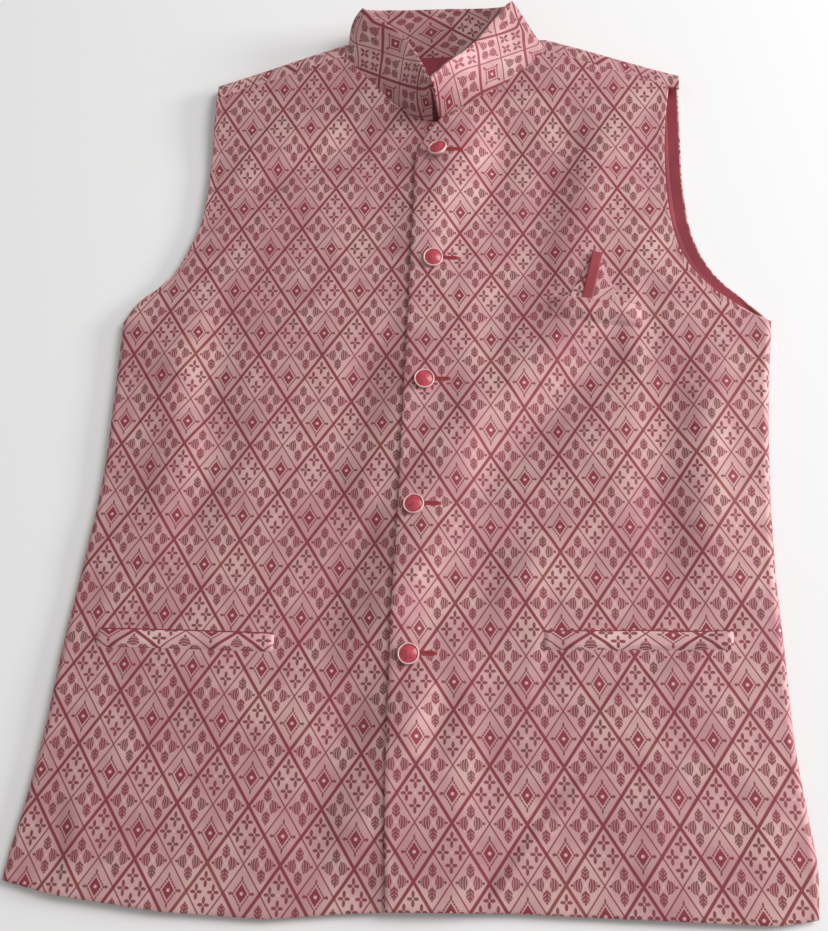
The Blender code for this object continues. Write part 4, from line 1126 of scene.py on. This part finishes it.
# ---------------------------------------------------------------------------------------------
# Buttons. Five down the upper front's edge, each moulded in two parts: a pale glossy cup with a
# rolled rim, and a domed red cap pressed into it. The top one leans a little.
# ---------------------------------------------------------------------------------------------
BUTTON_RADIUS = 0.0083
BUTTON_HEIGHT = 0.0030
BUTTON_FLOOR = 0.0012
BUTTON_RIM = 0.0012
BUTTON_DOME = 0.0016
CAP_SINK = 0.0008
TURN_STEPS = 48
Button = namedtuple("Button", "x y tilt_x tilt_y", defaults=(0.0, 0.0))
BUTTONS = (Button(-0.0130, 0.184), Button(-0.0140, 0.303), Button(-0.0100, 0.410),
           Button(-0.0070, 0.523), Button(-0.0058, 0.629, -12.0, -5.0))


def lying(spot, normal):
    """A frame on a panel: Z out of the cloth, X level across the jacket."""
    across = (Vector((1.0, 0.0, 0.0)) - normal * normal.x).normalized()
    frame = Matrix((across, normal.cross(across), normal)).transposed().to_4x4()
    frame.translation = spot
    return frame


def pick(*pieces):
    """Selects these pieces alone, the first of them active."""
    bpy.ops.object.select_all(action="DESELECT")
    for piece in pieces:
        piece.select_set(True)
    bpy.context.view_layer.objects.active = pieces[0]


def turned(name, profile, placed, finish):
    """A shape spun from its profile, a run of radius and height that starts on the axis."""
    mesh = bpy.data.meshes.new(name)
    mesh.from_pydata([(radius, 0.0, height) for radius, height in profile],
                     [(k, k + 1) for k in range(len(profile) - 1)], [])
    made = bpy.data.objects.new(name, mesh)
    scene.collection.objects.link(made)
    pick(made)
    bpy.ops.object.mode_set(mode="EDIT")
    bpy.ops.mesh.select_all(action="SELECT")
    bpy.ops.mesh.spin(steps=TURN_STEPS, angle=2.0 * math.pi, center=(0.0, 0.0, 0.0),
                      axis=(0.0, 0.0, 1.0))
    bpy.ops.mesh.select_all(action="SELECT")
    bpy.ops.mesh.remove_doubles(threshold=0.00001)
    bpy.ops.mesh.normals_make_consistent(inside=False)
    bpy.ops.object.mode_set(mode="OBJECT")
    made.data.transform(placed)
    made.data.shade_smooth()
    made.data.materials.append(finish)
    return made


def button_gloss(name, colour, shade, roughness):
    """Glossy moulded finish with slight mottling and fine scratches."""
    gloss = Finish(name)
    spot = gloss.node("ShaderNodeTexCoord", {}, {}).outputs["Object"]
    mottle = gloss.noise(spot, 260.0, 3.0)
    scratch = gloss.noise(spot, 1900.0, 2.0)
    gloss.feed(gloss.shader, {
        "Base Color": gloss.mix(mottle.ramp(0.35, 0.65), colour, shade),
        "Roughness": roughness + 0.15 * scratch.ramp(0.50, 0.75),
        "Normal": gloss.bump(scratch, 0.00003, 0.4),
        "Coat Weight": 0.25, "Coat Roughness": 0.15})
    return gloss.material


RIM_GLOSS = button_gloss("rim_gloss", tint(232, 196, 190), tint(222, 178, 176), 0.25)
CAP_GLOSS = button_gloss("cap_gloss", tint(192, 72, 86), tint(172, 56, 72), 0.30)

# The cup runs from the middle of its foot out, round its rolled rim and back over its floor; the
# cap from the floor's middle out and back over its dome
inside = BUTTON_RADIUS - BUTTON_RIM
cup = [(0.0, 0.0), (BUTTON_RADIUS - 0.0014, 0.0), (BUTTON_RADIUS - 0.0006, 0.0002),
       (BUTTON_RADIUS - 0.0001, 0.0007), (BUTTON_RADIUS, 0.0014)]
cup += [(BUTTON_RADIUS - BUTTON_RIM / 2.0 * (1.0 - math.cos(t)),
         BUTTON_HEIGHT - 0.0007 + 0.0007 * math.sin(t)) for t in np.linspace(0.0, math.pi, 9)]
cup += [(inside, BUTTON_FLOOR + 0.0001), (inside - 0.0001, BUTTON_FLOOR), (0.0, BUTTON_FLOOR)]
radius, edge = inside - 0.00015, BUTTON_HEIGHT - CAP_SINK
dome = [(0.0, BUTTON_FLOOR + SEAM_GAP), (radius, BUTTON_FLOOR + SEAM_GAP), (radius, edge - 0.0002)]
dome += [(radius * part, edge + BUTTON_DOME * (1.0 - part ** 2))
         for part in (0.985, 0.95, 0.9, 0.82, 0.72, 0.6, 0.45, 0.3, 0.15, 0.0)]
for number, button in enumerate(BUTTONS, 1):
    spot, normal = under(trees[1], button.x, button.y)
    tilt_x, tilt_y = math.radians(button.tilt_x), math.radians(button.tilt_y)
    clear = LAID_GAP + BUTTON_RADIUS * (math.sin(abs(tilt_x)) + math.sin(abs(tilt_y)))
    placed = lying(spot + normal * clear, normal)
    placed = placed @ Matrix.Rotation(tilt_x, 4, "X") @ Matrix.Rotation(tilt_y, 4, "Y")
    rim = turned(f"button_{number}_rim", cup, placed, RIM_GLOSS)
    wear(rim, "button_rim", f"button_rim_{number}")
    cap = turned(f"button_{number}_cap", dome, placed, CAP_GLOSS)
    wear(cap, "button_cap", f"button_cap_{number}")


# ---------------------------------------------------------------------------------------------
# Buttonholes. Each is a slit in the upper front, its two sides bound by close stitches of red
# thread and its outer end held by a bar of longer ones. The button lies over the inner end.
# ---------------------------------------------------------------------------------------------
HOLE_START, HOLE_END = 0.0020, 0.0195    # from the button's middle
HOLE_RISE = 0.0013
STITCH_PITCH = 0.00055
STITCH_THICK = 0.00060
STITCH_LONG = 0.00165
STITCH_FOOT = -0.28          # where its round is cut flat, in parts of its height
BAR_LONG = 0.0034
BAR_STITCHES = 4
STITCH_LIFT = 0.35           # of its middle off the cloth, in parts of its thickness
SLIT_WIDTH = 0.0006
SLIT_GAP, SLIT_PLY = 0.00005, 0.0001
SLIT_ROWS, SLIT_COLUMNS = 3, 24

thread = Finish("buttonhole_thread")
spot = thread.node("ShaderNodeTexCoord", {}, {}).outputs["Object"]
twist = thread.noise(spot, 1800.0, 2.0)
thread.feed(thread.shader, {
    "Base Color": thread.mix(twist.ramp(0.35, 0.65), tint(176, 50, 62), tint(150, 38, 50)),
    "Normal": thread.bump(twist, 0.00006, 0.5), "Roughness": 0.45 + 0.15 * twist,
    "Specular IOR Level": 0.45})

bpy.ops.object.select_all(action="DESELECT")
bpy.ops.mesh.primitive_uv_sphere_add(segments=8, ring_count=6, radius=0.5, location=(0.0, 0.0, 0.0))
stitch = bpy.context.active_object
bpy.ops.object.mode_set(mode="EDIT")
bpy.ops.mesh.select_all(action="SELECT")
bpy.ops.mesh.bisect(plane_co=(0.0, 0.0, STITCH_FOOT), plane_no=(0.0, 0.0, 1.0), use_fill=True,
                    clear_inner=True)
bpy.ops.object.mode_set(mode="OBJECT")
stitch.data.shade_smooth()
stitch.data.materials.append(thread.material)

for number, button in enumerate(BUTTONS, 1):
    stitches, level = [], button.y + HOLE_RISE
    places = np.arange(HOLE_START, HOLE_END, STITCH_PITCH)
    rows = [(part, side * (SLIT_WIDTH + STITCH_LONG) / 2.0, STITCH_LONG)
            for part in places for side in (-1, 1)]
    rows += [(HOLE_END + k * STITCH_PITCH, 0.0, BAR_LONG) for k in range(BAR_STITCHES)]
    for part, aside, long in rows:
        at, normal = under(trees[1], button.x + part, level + aside)
        placed = lying(at + normal * STITCH_THICK * STITCH_LIFT, normal)
        copied = stitch.copy()
        copied.data = stitch.data.copy()
        copied.data.transform(placed @ Matrix.Diagonal((STITCH_THICK, long, STITCH_THICK, 1.0)))
        scene.collection.objects.link(copied)
        stitches.append(copied)
    pick(*stitches)
    bpy.ops.object.join()
    hole = bpy.context.active_object
    hole.name = f"buttonhole_{number}"
    wear(hole, "strip")
    # A thin strip of lining satin laid on the cloth stands for the open slit: partly the lining,
    # partly painted shade inside the slit.
    upper_edge = level + SLIT_WIDTH / 2.0
    flat = band((button.x + HOLE_START, upper_edge), (button.x + HOLE_END, upper_edge), SLIT_WIDTH,
                SLIT_ROWS, SLIT_COLUMNS)
    slit = laid_piece(f"buttonhole_{number}_slit", trees[1], flat, SLIT_GAP, SLIT_PLY,
                      (LINING, LINING), flat)
    wear(slit, "lining")
bpy.data.objects.remove(stitch)
